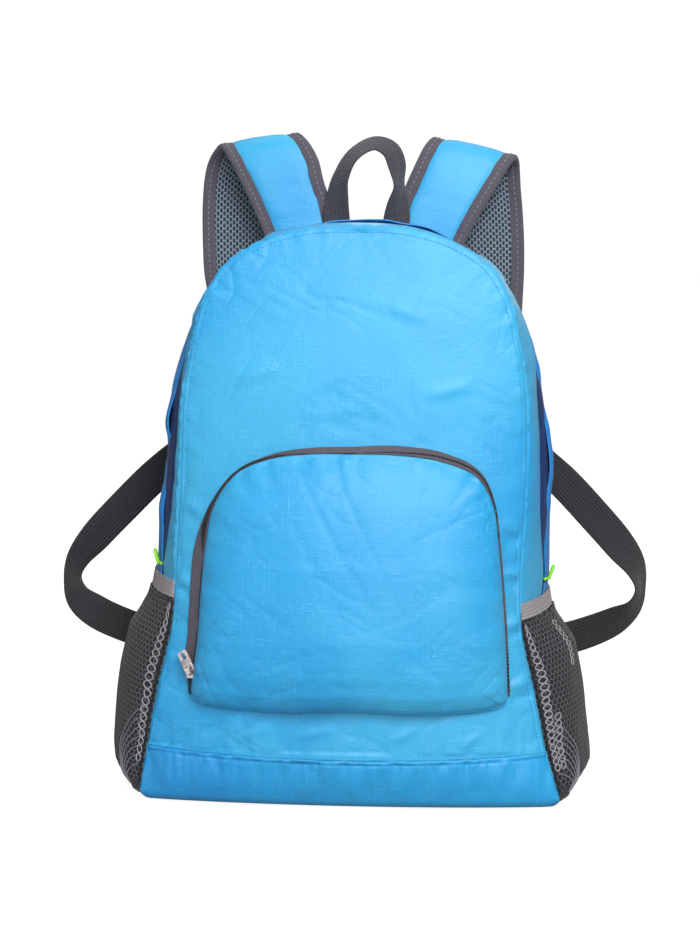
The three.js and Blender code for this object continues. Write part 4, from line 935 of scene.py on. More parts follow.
def make_front_panel():
    cols, rows = 190, 236
    bottom = bottom_seam(graded(cols))
    up = SEAM_ROW + (SHOULDER_ROW - SEAM_ROW) * graded(rows)
    left = front_seam(up)
    right = front_seam(2 * TOP - up)
    top = front_seam(SHOULDER_ROW + 2 * (TOP - SHOULDER_ROW) * graded(cols))
    grid = relax(coons(bottom, top, left, right), 80)
    grid[..., 1] = front_y(grid[..., 0], grid[..., 2])
    rise = front_rise(grid)
    uv = grid[..., [0, 2]] * MM
    grid = grid + front_normals(grid[..., 0], grid[..., 2]) * rise[..., None]
    panel = cloth("front_cloth", grid, np.array([0, -1, 0]), ripstop, uv=uv)
    return dress(panel, "bag", "ripstop", "front_panel")


def strip_grid(us, ts, lift):
    u, t = np.meshgrid(us, ts, indexing="ij")
    return gusset(u, t, lift(u, t))


def make_gussets():
    us = np.linspace(HEM_ROWS[0], 2 * TOP - HEM_ROWS[1], 660)

    def run(u):
        return np.interp(u, np.linspace(0, 2 * TOP, 1201), _seam_length)

    def slot(u):
        return np.interp(u, SLOT_ROWS, SLOT_SHARE) + 0.012 * soft_noise(run(u) / 26, 0 * u, 40)

    def gap(u):
        return np.interp(u, SLOT_ROWS, SLOT_WIDTHS) / BASE_DEPTH

    def ends(u):
        return np.clip(np.minimum(u - ZIP_ROW, 2 * TOP - ZIP_ROW - u) * 1.6, 0, 1)

    def top_share(u):
        return np.exp(-((u - TOP - 0.7) / 1.7) ** 2)

    def side_share(u):
        return np.exp(-np.abs((np.minimum(u, 2 * TOP - u) - SIDE_MIDDLE) / SIDE_REACH) ** 3)

    def flap_lift(u, t):
        free = np.maximum(0, (t / slot(u) - 0.35) / 0.65)
        wave = FLAP_RISE + FLAP_WAVE * np.sin(u * 2.6) + 1.3 * soft_noise(run(u) / 11, t, 41)
        flat = np.maximum(top_share(u), side_share(u))
        wave = wave * (1 - flat) - 2.0 * flat
        away = t * BASE_DEPTH
        seam = gathers(run(u), away, 1.3, 9, 12, 43) * np.clip(away / 6, 0, 1)
        return ends(u) * (free**2 * wave + seam) + welt(away, run(u), 44) * np.clip(0.2 + 2 * ends(u), 0, 1)

    def back_lift(u, t):
        near = (t - slot(u) - gap(u)) * BASE_DEPTH
        far = (1 - t) * BASE_DEPTH
        puckers = gathers(run(u), near, 0.9, 10, 10, 45) * np.clip(near / 6, 0, 1)
        puckers += gathers(run(u), far, 1.3, 11, 14, 47) * np.clip(far / 4, 0, 1)
        loose = puckers + dents(run(u), t * BASE_DEPTH, 1.2, 45, 49) * np.clip(far / 15, 0, 1)
        lip = 6.2 * top_share(u) * (0.75 + 0.6 * soft_noise(run(u) / 17, 0 * u, 46)) - 2.6
        shoulder = SIDE_LIP * side_share(u) * (0.8 + 0.5 * soft_noise(run(u) / 22, 0 * u, 48))
        shoulder = shoulder * np.exp(-((near / SIDE_LIP_REACH) ** 2))
        return ends(u) * (loose + lip * np.exp(-near / 4.0) + shoulder)

    def tape_lift(u, t):
        middle = np.abs(t - slot(u) - gap(u) / 2) * BASE_DEPTH
        across = np.clip((t - slot(u)) / gap(u), 0, 1)
        ridge = 0.8 * np.clip(1 - middle / 2.6, 0, 1) - 1.2
        return ends(u) * (ridge + side_share(u) * (TAPE_SLOPE * across - 1.4)) - 1.3

    def strip_between(low, high, shares, lift):
        share, u = np.meshgrid(shares, us)
        t = low(u) + (high(u) - low(u)) * share
        return gusset(u, t, lift(u, t))

    outside = outward(us)[:, None, :]
    grid = strip_between(lambda u: 0 * u, slot, np.linspace(0, 1, 30) ** 1.4, flap_lift)
    flap = cloth("front_strip", grid, outside, ripstop)
    dress(flap, "bag", "ripstop", "front_gusset")
    rear_shares = np.linspace(0, 1, 44) ** 1.3
    grid = strip_between(lambda u: slot(u) + gap(u), lambda u: 0.997 + 0 * u, rear_shares, back_lift)
    # the rear strip's deeper blue is painted shade
    back = cloth("rear_strip", grid, outside, ripstop_deep)
    dress(back, "bag", "ripstop_deep", "back_gusset")
    tape_shares = np.linspace(0, 1, 24)
    grid = strip_between(lambda u: slot(u) - 0.05, lambda u: slot(u) + gap(u) + 0.06, tape_shares, tape_lift)
    # the zip tape's navy is partly painted shade of the gap
    zip_tape = cloth("main_zip", grid, outside, shaded_zip_cloth)
    dress(zip_tape, "bag", "ripstop_deep", "main_zip_tape")


def side_us(side, low, high, count):
    us = np.linspace(low, high, count)
    return us if side < 0 else 2 * TOP - us


def make_side_panel(side):
    label = "left" if side < 0 else "right"
    us = side_us(side, 0.02, ZIP_ROW, 140)

    def lift(u, t):
        up = (ZIP_ROW - (u if side < 0 else 2 * TOP - u)) * 40
        edge = np.minimum(t, 1 - t) * BASE_DEPTH
        loose = gathers(up, edge, 1.2, 10, 10, 51) + dents(up, t * BASE_DEPTH, 1.0, 40, 53)
        top = np.clip((up - 12) / 40, 0, 1)
        rise = loose * np.clip(edge / 5, 0, 1) + 0.5 * welt(t * BASE_DEPTH, up, 55)
        return rise * top - 0.4 - 1.0 * (1 - top)

    grid = strip_grid(us, np.linspace(0, 1, 110), lift)
    panel = cloth(f"side_cloth_{label}", grid, outward(us)[:, None, :], ripstop)
    dress(panel, "bag", "ripstop", f"side_panel_{label}")


def make_back_panel():
    cols, rows = 110, 140
    left = back_seam(np.linspace(0.02, SHOULDER_ROW, rows))
    right = back_seam(2 * TOP - np.linspace(0.02, SHOULDER_ROW, rows))
    top = back_seam(np.linspace(SHOULDER_ROW, 2 * TOP - SHOULDER_ROW, cols))
    bottom = left[0] + (right[0] - left[0]) * np.linspace(0, 1, cols)[:, None]
    grid = coons(bottom, top, left, right)
    u = np.linspace(0, math.pi, cols)[None, :]
    v = np.linspace(0, math.pi, rows)[:, None]
    path = back_seam(np.linspace(0, 2 * TOP, 1201))
    lengths = np.concatenate([[0], np.cumsum(np.linalg.norm(np.diff(path, axis=0), axis=1))])
    away, along = nearest(grid, path, lengths)
    rise = gathers(along, away, 1.1, 11, 11, 61) + dents(grid[..., 0], grid[..., 2], 1.2, 70, 63)
    grid[..., 1] = BACK_Y + BACK_CROWN * np.sin(u) * np.sin(v) + rise * np.clip(away / 4, 0, 1)
    uv = grid[..., [0, 2]] * MM
    panel = cloth("back_cloth", grid, np.array([0, 1, 0]), ripstop, uv=uv)
    dress(panel, "bag", "ripstop", "back_panel")


def make_base():
    cols, band, under = 240, 46, 50
    band_us = np.linspace(SEAM_ROW, 0, band)
    ts = np.linspace(0, 0.997, under)[1:]

    def edge(side):
        front = front_seam(band_us if side < 0 else 2 * TOP - band_us)
        below = gusset(np.full(len(ts), 0.0 if side < 0 else 2.0 * TOP), ts)
        return np.vstack([front, below])

    left, right = edge(-1), edge(1)
    front = bottom_seam(np.linspace(0, 1, cols))
    front[0], front[-1] = left[0], right[0]
    rear = left[-1] + (right[-1] - left[-1]) * np.linspace(0, 1, cols)[:, None]
    grid = coons(front, rear, left, right)
    inner = slice(1, -1)
    grid[band - 1:-1, inner, 2] = 0.0
    fold = np.linspace(0, math.pi, band + 4)[:band, None]
    rim = np.clip(np.minimum(np.arange(cols), np.arange(cols)[::-1]) / (cols * 0.07), 0, 1)[None, :]
    grid[:band, :, 1] -= 2.5 * np.sin(fold) * rim
    grid[3:] = relax(grid[2:], 14)[1:]
    run = np.linspace(0, 41, band)[:, None]
    x = grid[:band, :, 0]
    rise = gathers(x, run, 2.0, 7, 24, 71) + dents(x, run, 0.9, 50, 73) * np.sin(fold) + 0 * x
    rise = rise * np.clip(run / 5, 0, 1) + 0.6 * welt(run + 0 * x, x + 0 * run, 75)
    normals = grid_normals(grid, np.array([0, -1, -0.5]))
    grid[:band] += normals[:band] * (rise * np.clip((41 - run) / 12, 0, 1))[..., None]
    grid[..., 2] = np.maximum(grid[..., 2], 0)
    # the base band's darker blue is painted shade
    panel = cloth("base_cloth", grid, np.array([0, -1, -1]), shaded_ripstop_low)
    dress(panel, "bag", "ripstop", "bottom_panel")


# Side pockets


def row_at(z):
    return np.interp(z, _seam[:, 2], _seam_u)


def bag_grid(side, mouth, ups, ts, extra):
    foot = _seam[0, 2]
    up, t = np.meshgrid(ups, ts, indexing="ij")
    u = row_at(foot + (mouth - foot) * up)
    u = u if side < 0 else 2 * TOP - u
    across = np.clip((t - MESH_START) / (MESH_END - MESH_START), 0, 1)
    swell = np.sin(math.pi * across) ** 0.6
    stand = smooth_table(BAG_UP, BAG_SHARE, up, 0.04) * POCKET_BAG * swell
    return gusset(u, t, stand + extra(up, t, across)), u


def make_side_pocket(side, mouth):
    label = "left" if side < 0 else "right"
    foot = _seam[0, 2]
    top = (mouth - BINDING_HEIGHT - foot) / (mouth - foot)
    ts = np.linspace(MESH_START, MESH_END, 90)

    def net_lift(up, t, across):
        below = (top - up) * (mouth - foot)
        run = t * BASE_DEPTH
        edge = np.minimum(across, 1 - across) * BASE_DEPTH
        rise = gathers(run, below, 1.6, 9, 22, 81) + gathers(run, up * mouth, 2.0, 10, 16, 83)
        rise += gathers(up * mouth, edge, 1.3, 8, 9, 85) + dents(run, up * mouth, 1.6, 38, 87)
        return 0.8 + 1.4 * np.clip(edge / 8, 0, 1) + rise * np.clip(edge / 5, 0.15, 1)

    grid, us = bag_grid(side, mouth, np.linspace(0, top, 120), ts, net_lift)
    net = cloth(f"mesh_cloth_{label}", grid, outward(us[:, 0])[:, None, :], pocket_knit, 1.0)
    dress(net, "bag", "grey_knit", f"mesh_pocket_{label}")

    def band_lift(up, t, across):
        groove = np.abs(np.sin((up - top) / (1 - top) * 4.5 * math.pi)) ** 0.5
        hold = 0.5 + 0.6 * np.clip(np.minimum(across, 1 - across) * BASE_DEPTH / 8, 0, 1)
        return hold + 0.5 * groove + 0.4 * np.sin(t * 70) * np.sin(math.pi * across)

    grid, us = bag_grid(side, mouth, np.linspace(top, 1, 30), ts, band_lift)
    band = cloth(f"mouth_band_{label}", grid, outward(us[:, 0])[:, None, :], elastic_tape, 1.6)
    dress(band, "bag", "grey_binding", f"pocket_binding_{label}")

    def yarn(name, up, t, lift, thick, material):
        across = np.clip((t - MESH_START) / (MESH_END - MESH_START), 0, 1)
        stand = smooth_table(BAG_UP, BAG_SHARE, up, 0.04) * POCKET_BAG * np.sin(math.pi * across) ** 0.6
        u = row_at(foot + (mouth - foot) * up)
        u = u if side < 0 else 2 * TOP - u
        path = gusset(u, t, stand + net_lift(up, t, across) + lift)
        thread(f"{name}_{label}", path, thick, outward(u), material, "grey_knit", 6)

    def chain(name, low, high, middle, reach, pitch, material):
        """Two yarns that cross each other again and again, as a row of round holes up the net."""
        count = int((high - low) * (mouth - foot) / pitch)
        turn = np.linspace(0, math.pi * count, 14 * count)
        up = low + (high - low) * turn / turn[-1]
        wave = np.sign(np.sin(turn)) * np.abs(np.sin(turn)) ** 0.7
        hug = 0.45 + 0.55 * np.clip((up - 0.15) / 0.5, 0, 1)
        for k, way in enumerate((-1, 1)):
            yarn(f"{name}_{k}", up, (middle + way * reach / BASE_DEPTH * wave) * hug, 0.6, 0.5, material)

    rise = np.linspace(0.04, top - 0.02, 420)
    height = rise * (mouth - foot)
    wander = 0.35 * soft_noise(height / 4, 0 * height, 88)
    yarn("net_edge", rise, 0.003 + 0.005 * wander, 0.3, 0.75 + 0.25 * wander, coil_black)
    chain("net_chain", 0.14, top - 0.03, 0.026, 1.7, 5.5 if side < 0 else 4.7, pale_yarn)
    if side > 0:
        chain("net_rear_chain", 0.60, top - 0.06, 0.32, 2.8, 4.4, pale_yarn)
        chain("net_low_chain", 0.14, 0.42, 0.075, 2.6, 4.7, pale_yarn)
    for k in range(7):
        part = np.linspace(0.40 - 0.045 * k, 0.02, 90)
        sweep = (part[0] - part) / part[0]
        yarn(f"net_line_{k}", part, 0.012 + (0.15 - 0.016 * k) * np.sin(2.6 * sweep), 0.5, 0.34, net_yarn)


# Front pocket


def pocket_line(left, right):
    sides = []
    for sign, table in ((-1, left), (1, right)):
        across = [POCKET_SHIFT + sign * a * POCKET_WIDTH / 2 for a, b in table]
        sides.append([(x, 0, POCKET_LOW + row[1] * POCKET_HEIGHT) for x, row in zip(across, table)])
    return sides[0] + sides[1][-2::-1]


POCKET_POINTS = pocket_line(POCKET_LEFT, POCKET_RIGHT)
FOOT_POINTS = pocket_line(POCKET_FOOT, POCKET_FOOT)
CORNER_PLACE = POCKET_CORNER / (2 * (len(POCKET_LEFT) - 1))


def over_front(p, rise):
    q = np.array(p, float)
    q[..., 1] = front_y(q[..., 0], q[..., 2]) - rise
    return q


def pocket_out(places):
    way = catmull(POCKET_POINTS, places + 1e-3) - catmull(POCKET_POINTS, places - 1e-3)
    out = np.stack([-way[:, 2], 0 * places, way[:, 0]], axis=1)
    return out / np.linalg.norm(out, axis=1)[:, None]


def make_front_pocket():
    rows, cols = 190, 210
    u = graded(cols)[None, :]
    v = graded(rows)[:, None]
    left = catmull(POCKET_POINTS, CORNER_PLACE * v[:, 0])
    right = catmull(POCKET_POINTS, 1 - CORNER_PLACE * v[:, 0])
    top = catmull(POCKET_POINTS, CORNER_PLACE + (1 - 2 * CORNER_PLACE) * u[0])
    bottom = catmull(FOOT_POINTS, u[0])
    grid = coons(bottom, top, left, right)
    across = np.clip(np.sin(math.pi * u), 0, 1) ** 0.55
    up = smooth_table(PUFF_UP, PUFF_SHARE, v, 0.015)
    edge = 1.8 + (POCKET_RISE - 1.8) * np.clip(v * 6, 0, 1)
    puff = edge + POCKET_CROWN * across * up
    arch = catmull(POCKET_POINTS, np.linspace(0, 1, 500))
    path = np.vstack([arch, catmull(FOOT_POINTS, np.linspace(1, 0, 300))])
    lengths = np.concatenate([[0], np.cumsum(np.linalg.norm(np.diff(path, axis=0), axis=1))])
    away, along = nearest(grid, path, lengths)
    x, z = grid[..., 0], grid[..., 2]
    folds = gathers(along, away, 1.5, 10, 10, 91) + gathers(along, away, 1.6, 26, 24, 93)
    folds += dents(x, z, 1.6, 60, 95) * np.clip(away / 25, 0, 1)
    folds += creases(x, z, 1.0, 22, 0.35, 97) + creases(x, z, 0.9, 18, -1.1, 99)
    folds += creases(x, z, 0.7, 8, 0.8, 89) + creases(x, z, 0.6, 7, -0.6, 90)
    grid = over_front(grid, puff + folds * np.clip(away / 3, 0, 1))
    uv = grid[..., [0, 2]] * MM
    grid[..., 2] -= np.interp(v, HANG_UP, HANG_DROP) * across
    pocket = cloth("pocket_cloth", grid, np.array([0, -1, 0]), ripstop, uv=uv)
    dress(pocket, "bag", "ripstop", "front_pocket")


def zip_width(places):
    return np.interp(places, BAND_PLACES, BAND_WIDTHS)


def make_pocket_zip():
    """Zip tape that turns edge-on round the left shoulder and under the right side, with its coil, which
    thickens into a black wedge at the left shoulder as partly painted shade of the tape's fold.
    """
    places = np.linspace(0, 1, 520)
    line = catmull(POCKET_POINTS, places)
    way = pocket_out(places)
    end = np.clip(np.minimum(places, 1 - places) * 14, 0.25, 1)
    rise = 1.8 + (POCKET_RISE - 1.8) * end
    band = zip_width(places)
    outs = np.array([0.0, 0.08, 0.2, 0.32, 0.44, 0.5, 0.56, 0.68, 0.8, 0.92, 1.0])
    humps = np.array([0.0, 0.35, 0.4, 0.25, 0.1, 0.0, 0.1, 0.25, 0.3, 0.3, 0.0])
    run = places * 520
    columns = []
    for out, hump in zip(outs, humps):
        p = line + way * (0.2 + out * band)[:, None]
        slope = rise + (1.5 - rise) * out
        wave = 0.35 * soft_noise(run / 7, 0 * run + out, 101)
        columns.append(over_front(p, slope + hump + wave))
    tape = cloth("pocket_zip", np.stack(columns, axis=1), np.array([0, -1, 0]), binding_tape, 1.2)
    dress(tape, "bag", "grey_binding", "pocket_zip_tape")

    def coil(name, low, high, share, sizes):
        fine = np.linspace(low, high, int((high - low) * 1900))
        thick = np.interp(fine, *sizes)
        out = 0.2 + np.interp(fine, *share) * zip_width(fine)
        p = catmull(POCKET_POINTS, fine) + pocket_out(fine) * out[:, None]
        teeth = thick * (1 + 0.22 * np.sin(fine * 480 * TAU / 1.3))
        path = over_front(p, np.interp(fine, [0, 0.02, 0.98, 1], [2.2, 3.6, 3.6, 2.0]))
        thread(name, path, teeth, np.array([0.0, -1.0, 0.0]), coil_black, "grey_binding")

    # the coil's thick black stretch at places 0.20 to 0.22 is partly painted shade of the tape's fold
    left_share = ((0, 0.018, 0.03, 0.17, 0.21, 0.25, 0.37), (0.4, 0.4, 0.04, 0.04, 0.45, 0.5, 0.5))
    left_size_with_shade_wedge = (
        (0, 0.012, 0.022, 0.032, 0.17, 0.20, 0.22, 0.27, 0.37),
        (0.7, 1.5, 1.7, 0.55, 0.6, 1.5, 1.6, 0.9, 0.8),
    )
    coil("pocket_coil_left", 0.0, 0.37, left_share, left_size_with_shade_wedge)
    top_share = ((0.37, 0.42, 0.46, 0.58, 0.70, 0.80), (0.5, 0.1, 0.0, 0.35, 0.7, 0.8))
    coil("pocket_coil_top", 0.37, 0.80, top_share, ((0.37, 0.42, 0.8), (0.8, 0.5, 0.45)))
    foot = np.linspace(0.0, 0.045, 60)
    path = over_front(catmull(FOOT_POINTS, foot), 2.6)
    sizes = np.linspace(1.7, 0.5, 60)
    thread("pocket_coil_foot", path, sizes, np.array([0.0, -1.0, 0.0]), coil_black, "grey_binding")
    low = np.linspace(0.85, 0.995, 300)
    path = over_front(catmull(POCKET_POINTS, low) + pocket_out(low) * 1.0, 3.4)
    up = np.tile([0.0, -1.0, 0.0], (300, 1))
    stitches("pocket_thread_right", path, up, 1.5, 1.0, 0.62, coil_black, "grey_binding")


# Straps, webbing and handle


def strap_frames(side, count):
    """Middle, directions, half width and padding along a strap, from its two edges."""
    rows = STRAP_LEFT if side < 0 else STRAP_RIGHT
    places = np.linspace(0, 1, count)
    edges = [catmull([(side * row[k], row[4], row[k + 1]) for row in rows], places) for k in (0, 2)]
    origin = (edges[0] + edges[1]) / 2
    span = edges[0] - edges[1]
    width = np.linalg.norm(span, axis=1)
    wide = span / width[:, None]
    along = np.gradient(origin, axis=0)
    along /= np.linalg.norm(along, axis=1)[:, None]
    face = np.cross(along, wide)
    face /= np.linalg.norm(face, axis=1)[:, None]
    padding = smooth_table(np.arange(len(rows)), column(rows, 5), places * (len(rows) - 1))
    length = np.concatenate([[0], np.cumsum(np.linalg.norm(np.diff(origin, axis=0), axis=1))])
    return origin, wide, -side * face, along, width / 2, padding, length


def make_strap(side):
    label = "left" if side < 0 else "right"
    origin, wide, face, _, width, padding, length = strap_frames(side, 190)
    half = STRAP_EDGE / 2
    share = np.linspace(-1, 1, 33)
    w = share[None, :] * (width - 1.6)[:, None]
    inner = (width - BIND_WIDTH + 1)[:, None]
    crown = np.clip(1 - (np.abs(w) / inner) ** 4, 0, 1) ** 0.6
    pad = half + (STRAP_THICK / 2 - half) * padding[:, None] * crown
    away = np.maximum(0, inner - np.abs(w))
    run = np.broadcast_to(length[:, None], w.shape)
    wrinkle = gathers(run, away, 0.6, 9, 9, 111 + side) + 0.4 * soft_noise(run / 14, w / 30, 113)
    wrinkle = wrinkle * crown
    under = gathers(run, away, 0.6, 8, 8, 117 + side) * crown

    def side_points(height):
        return origin[:, None] + wide[:, None] * w[..., None] + face[:, None] * height[..., None]

    rings = np.concatenate([side_points(pad + wrinkle), side_points(-pad - under)[:, ::-1]], axis=1)
    slots = [0] * 33 + [1] * 33
    flat = (np.concatenate([share, share[::-1], share[:1]]) + 1) * width[0] * MM
    strap = rod(f"strap_pad_{label}", rings, [ripstop, air_mesh], slots, flat)
    dress(strap, "bag", "ripstop", f"strap_{label}")
    for word, sign in (("inner", -1), ("outer", 1)):
        make_strap_binding(label, word, sign, (origin, wide, face, width, length))


def make_strap_binding(label, word, sign, frames):
    """Tape folded round a strap's edge, with a row of stitches on both faces."""
    origin, wide, face, width, length = frames
    reach = BIND_THICK / 2
    flat = np.linspace(0, BIND_WIDTH - reach, 9)
    turn = np.linspace(0, math.pi, 11)[1:-1]
    inward = np.concatenate([BIND_WIDTH - flat, reach - reach * np.sin(turn), (BIND_WIDTH - flat)[::-1]])
    height = np.concatenate([0 * flat + reach, reach * np.cos(turn), 0 * flat - reach])
    near = np.clip((inward - reach) / BIND_WIDTH, 0, 1)
    squeeze = 1 - 0.22 * near
    wave = 0.35 * soft_noise(length[:, None] / 6, near[None, :] * 2 + (height > 0), 121 + sign)
    hem = 0.5 * soft_noise(length / 8, 0 * length, 125)[:, None] * near[None, :]
    w = sign * (width[:, None] - inward[None, :] + hem)
    h = height[None, :] * squeeze[None, :] + np.sign(height)[None, :] * wave * (near[None, :] > 0.05)
    grid = origin[:, None] + wide[:, None] * w[..., None] + face[:, None] * h[..., None]
    outside = wide[:, None] * (sign * (BIND_WIDTH - inward))[None, :, None]
    outside = outside + face[:, None] * height[None, :, None] * 4
    tape = cloth(f"strap_tape_{label}_{word}", grid, outside, binding_tape, 1.0)
    dress(tape, "bag", "grey_binding", f"strap_binding_{label}_{word}")
    for front in (1, -1):
        line = origin + wide * (sign * (width - 5.0))[:, None] + face * (front * (reach * 0.9 + 0.3))
        stitches(f"strap_thread_{label}_{word}_{'face' if front > 0 else 'rear'}", line, face * front,
                 2.3, 1.7, 0.34, pale_thread, "grey_binding")


def thread(name, path, thick, up, material, slot, sides=7):
    """A round yarn or coil along a path, as thick as given at each point."""
    along = np.gradient(path, axis=0)
    along /= np.maximum(np.linalg.norm(along, axis=1), 1e-9)[:, None]
    side = np.cross(along, up)
    side /= np.maximum(np.linalg.norm(side, axis=1), 1e-9)[:, None]
    rise = np.cross(side, along)
    angles = np.linspace(0, TAU, sides, endpoint=False)
    reach = np.broadcast_to(thick, len(path))[:, None, None]
    spokes = side[:, None] * np.cos(angles)[None, :, None] + rise[:, None] * np.sin(angles)[None, :, None]
    return dress(rod(name, path[:, None] + spokes * reach, [material]), "bag", slot)


def stitches(name, line, up, length, gap, width, material, slot):
    """A row of thread stitches along a line: each one a short bar that dips at its ends."""
    run = np.concatenate([[0], np.cumsum(np.linalg.norm(np.diff(line, axis=0), axis=1))])
    count = int(run[-1] / (length + gap))
    middle = (np.arange(count) + 0.5) * run[-1] / count
    section = np.array([[math.cos(a), math.sin(a)] for a in np.linspace(0, TAU, 6, endpoint=False)])
    stops = np.array([-0.5, -0.36, 0.0, 0.36, 0.5])
    sizes = np.array([0.35, 0.9, 1.0, 0.9, 0.35])
    dips = np.array([-0.4, 0.1, 0.2, 0.1, -0.4])
    corners = []
    faces = []
    for centre in middle:
        base = len(corners)
        for stop, size, dip in zip(stops, sizes, dips):
            here = centre + stop * length
            p = np.array([np.interp(here, run, line[:, k]) for k in range(3)])
            n = np.array([np.interp(here, run, up[:, k]) for k in range(3)])
            ends = [[np.interp(at, run, line[:, k]) for k in range(3)] for at in (here - 0.5, here + 0.5)]
            ahead = np.array(ends[1]) - np.array(ends[0])
            side = np.cross(ahead, n)
            side /= max(np.linalg.norm(side), 1e-9)
            n = n / max(np.linalg.norm(n), 1e-9)
            for a, b in section:
                corners.append(p + (side * a + n * b) * width * size + n * dip * width)
        for ring in range(4):
            for k in range(6):
                a, b = base + ring * 6 + k, base + ring * 6 + (k + 1) % 6
                faces.append((a, b, b + 6, a + 6))
        faces.append(tuple(base + k for k in range(5, -1, -1)))
        faces.append(tuple(base + 24 + k for k in range(6)))
    mesh = bpy.data.meshes.new(name)
    mesh.from_pydata(to_world(np.array(corners)).tolist(), [], faces)
    mesh.materials.append(material)
    mesh.shade_smooth()
    obj = link_object(name, mesh)
    bm = bmesh.new()
    bm.from_mesh(mesh)
    bmesh.ops.recalc_face_normals(bm, faces=bm.faces)
    bm.to_mesh(mesh)
    bm.free()
    return dress(obj, "bag", slot)


def band_rings(frames, width, thickness, ribs):
    """Rings of a woven band with rounded edges and shallow ribs on both faces."""
    origin, wide, face = frames[:3]
    share = np.linspace(-1, 1, 27)
    half = thickness / 2 * (1 - np.abs(share) ** 8 * 0.6) + 0.12 * np.cos(share * math.pi * ribs)
    w = share * width / 2
    top = origin[:, None] + wide[:, None] * w[None, :, None] + face[:, None] * half[None, :, None]
    low = origin[:, None] + wide[:, None] * w[None, :, None] - face[:, None] * half[None, :, None]
    flat = (np.concatenate([share, share[::-1], share[:1]]) + 1) * width / 2 * MM
    return np.concatenate([top, low[:, ::-1]], axis=1), flat


def make_webbing_loop(side):
    label = "left" if side < 0 else "right"
    mirror = np.array([side, 1, 1])
    way = STRAP_END_WAY * mirror
    start = STRAP_END * mirror + way * (LOCK_LENGTH + 0.8)
    lead = start + way * WEB_LEAD
    x = WEB_SHIFT + side * column(WEB_ROUTE, 0) * WEB_REACH
    y = BACK_Y + column(WEB_ROUTE, 1) * WEB_BEHIND
    rest = np.stack([x, y, column(WEB_ROUTE, 2) * BODY_HEIGHT], axis=1)
    points = np.vstack([start, lead, rest])
    faces = np.concatenate([[0, 0], column(WEB_ROUTE, 3)])
    places = np.linspace(0, 1, 200)
    turns = smooth_table(np.arange(len(points)), faces, places * (len(points) - 1))
    frames = ribbon_frames(points, places, lambda way: turned_width(way, turns))
    rings, flat = band_rings(frames, WEB_WIDTH, WEB_THICK, 9)
    loop = rod(f"webbing_{label}", rings, [black_webbing], None, flat)
    dress(loop, "bag", "black_webbing", f"strap_webbing_{label}")


def make_handle():
    top = float(back_seam(np.array([float(TOP)]))[0, 2])
    lie = BACK_Y + 0.32 * BACK_CROWN + 0.4 + 1.0
    points = [(HANDLE_SHIFT + lean * HANDLE_TIP + across * HANDLE_SPAN / 2, lie - lean * HANDLE_LEAN,
               top + up * HANDLE_HEIGHT) for across, up, lean, twist in HANDLE_ROUTE]
    places = np.linspace(0, 1, 120)
    turns = smooth_table(np.arange(len(points)), column(HANDLE_ROUTE, 3), places * (len(points) - 1))
    frames = ribbon_frames(points, places, lambda way: turned_width(way, turns))
    rings, flat = band_rings(frames, HANDLE_WIDTH, HANDLE_THICK, 7)
    handle = rod("handle", rings, [grey_webbing], None, flat)
    dress(handle, "bag", "grey_webbing", "carry_handle")


# Seam stitching


def make_seam_stitches():
    u = np.linspace(SEAM_ROW, 2 * TOP - SEAM_ROW, 900)
    seam = front_seam(u)
    inner = seam - outward(u) * 3.2
    line = over_front(inner, 0.3 + front_rise(inner[None])[0])
    up = np.tile([0.0, -1.0, 0.0], (len(u), 1)) + outward(u) * 0.7
    stitches("front_seam_thread", line, up, 2.4, 1.0, 0.3, blue_thread, "ripstop")


# Hard pieces

SLIDER_ROWS = (0.02, -0.16)
SLIDER_STEP = 0.1
BODY_SINK = 3.0
CROWN_SINK = 2.0
SLIDER_BODY = (5.0, 10.0, 2.2)
SLIDER_CROWN = (2.4, 5.0, 2.4)
PULL_NECK = (2.2, 1.2)
PULL_OUT = (3.4, 3.6)
PULL_REAR = 4.0
PULL_UP = 0.6
PULL_LEAN = math.radians(19)
PULL_GRIP = (5.4, 11.0, 2.4)


def block(name, size, place, directions, bevel, material):
    """A small moulded block with rounded edges, turned into its place."""
    bpy.ops.object.select_all(action="DESELECT")
    bpy.ops.mesh.primitive_cube_add(size=1)
    obj = bpy.context.active_object
    obj.name = name
    obj.data.transform(Matrix.Diagonal((*size, 1)))
    apply_modifier(obj, "BEVEL", width=bevel, segments=3, limit_method="NONE")
    corners = np.array([vertex.co for vertex in obj.data.vertices])
    obj.data.vertices.foreach_set("co", to_world(place + corners @ np.array(directions)).ravel())
    obj.data.materials.append(material)
    obj.data.shade_smooth()
    return obj


def joined(first, second):
    only(first)
    second.select_set(True)
    bpy.ops.object.join()
    return first


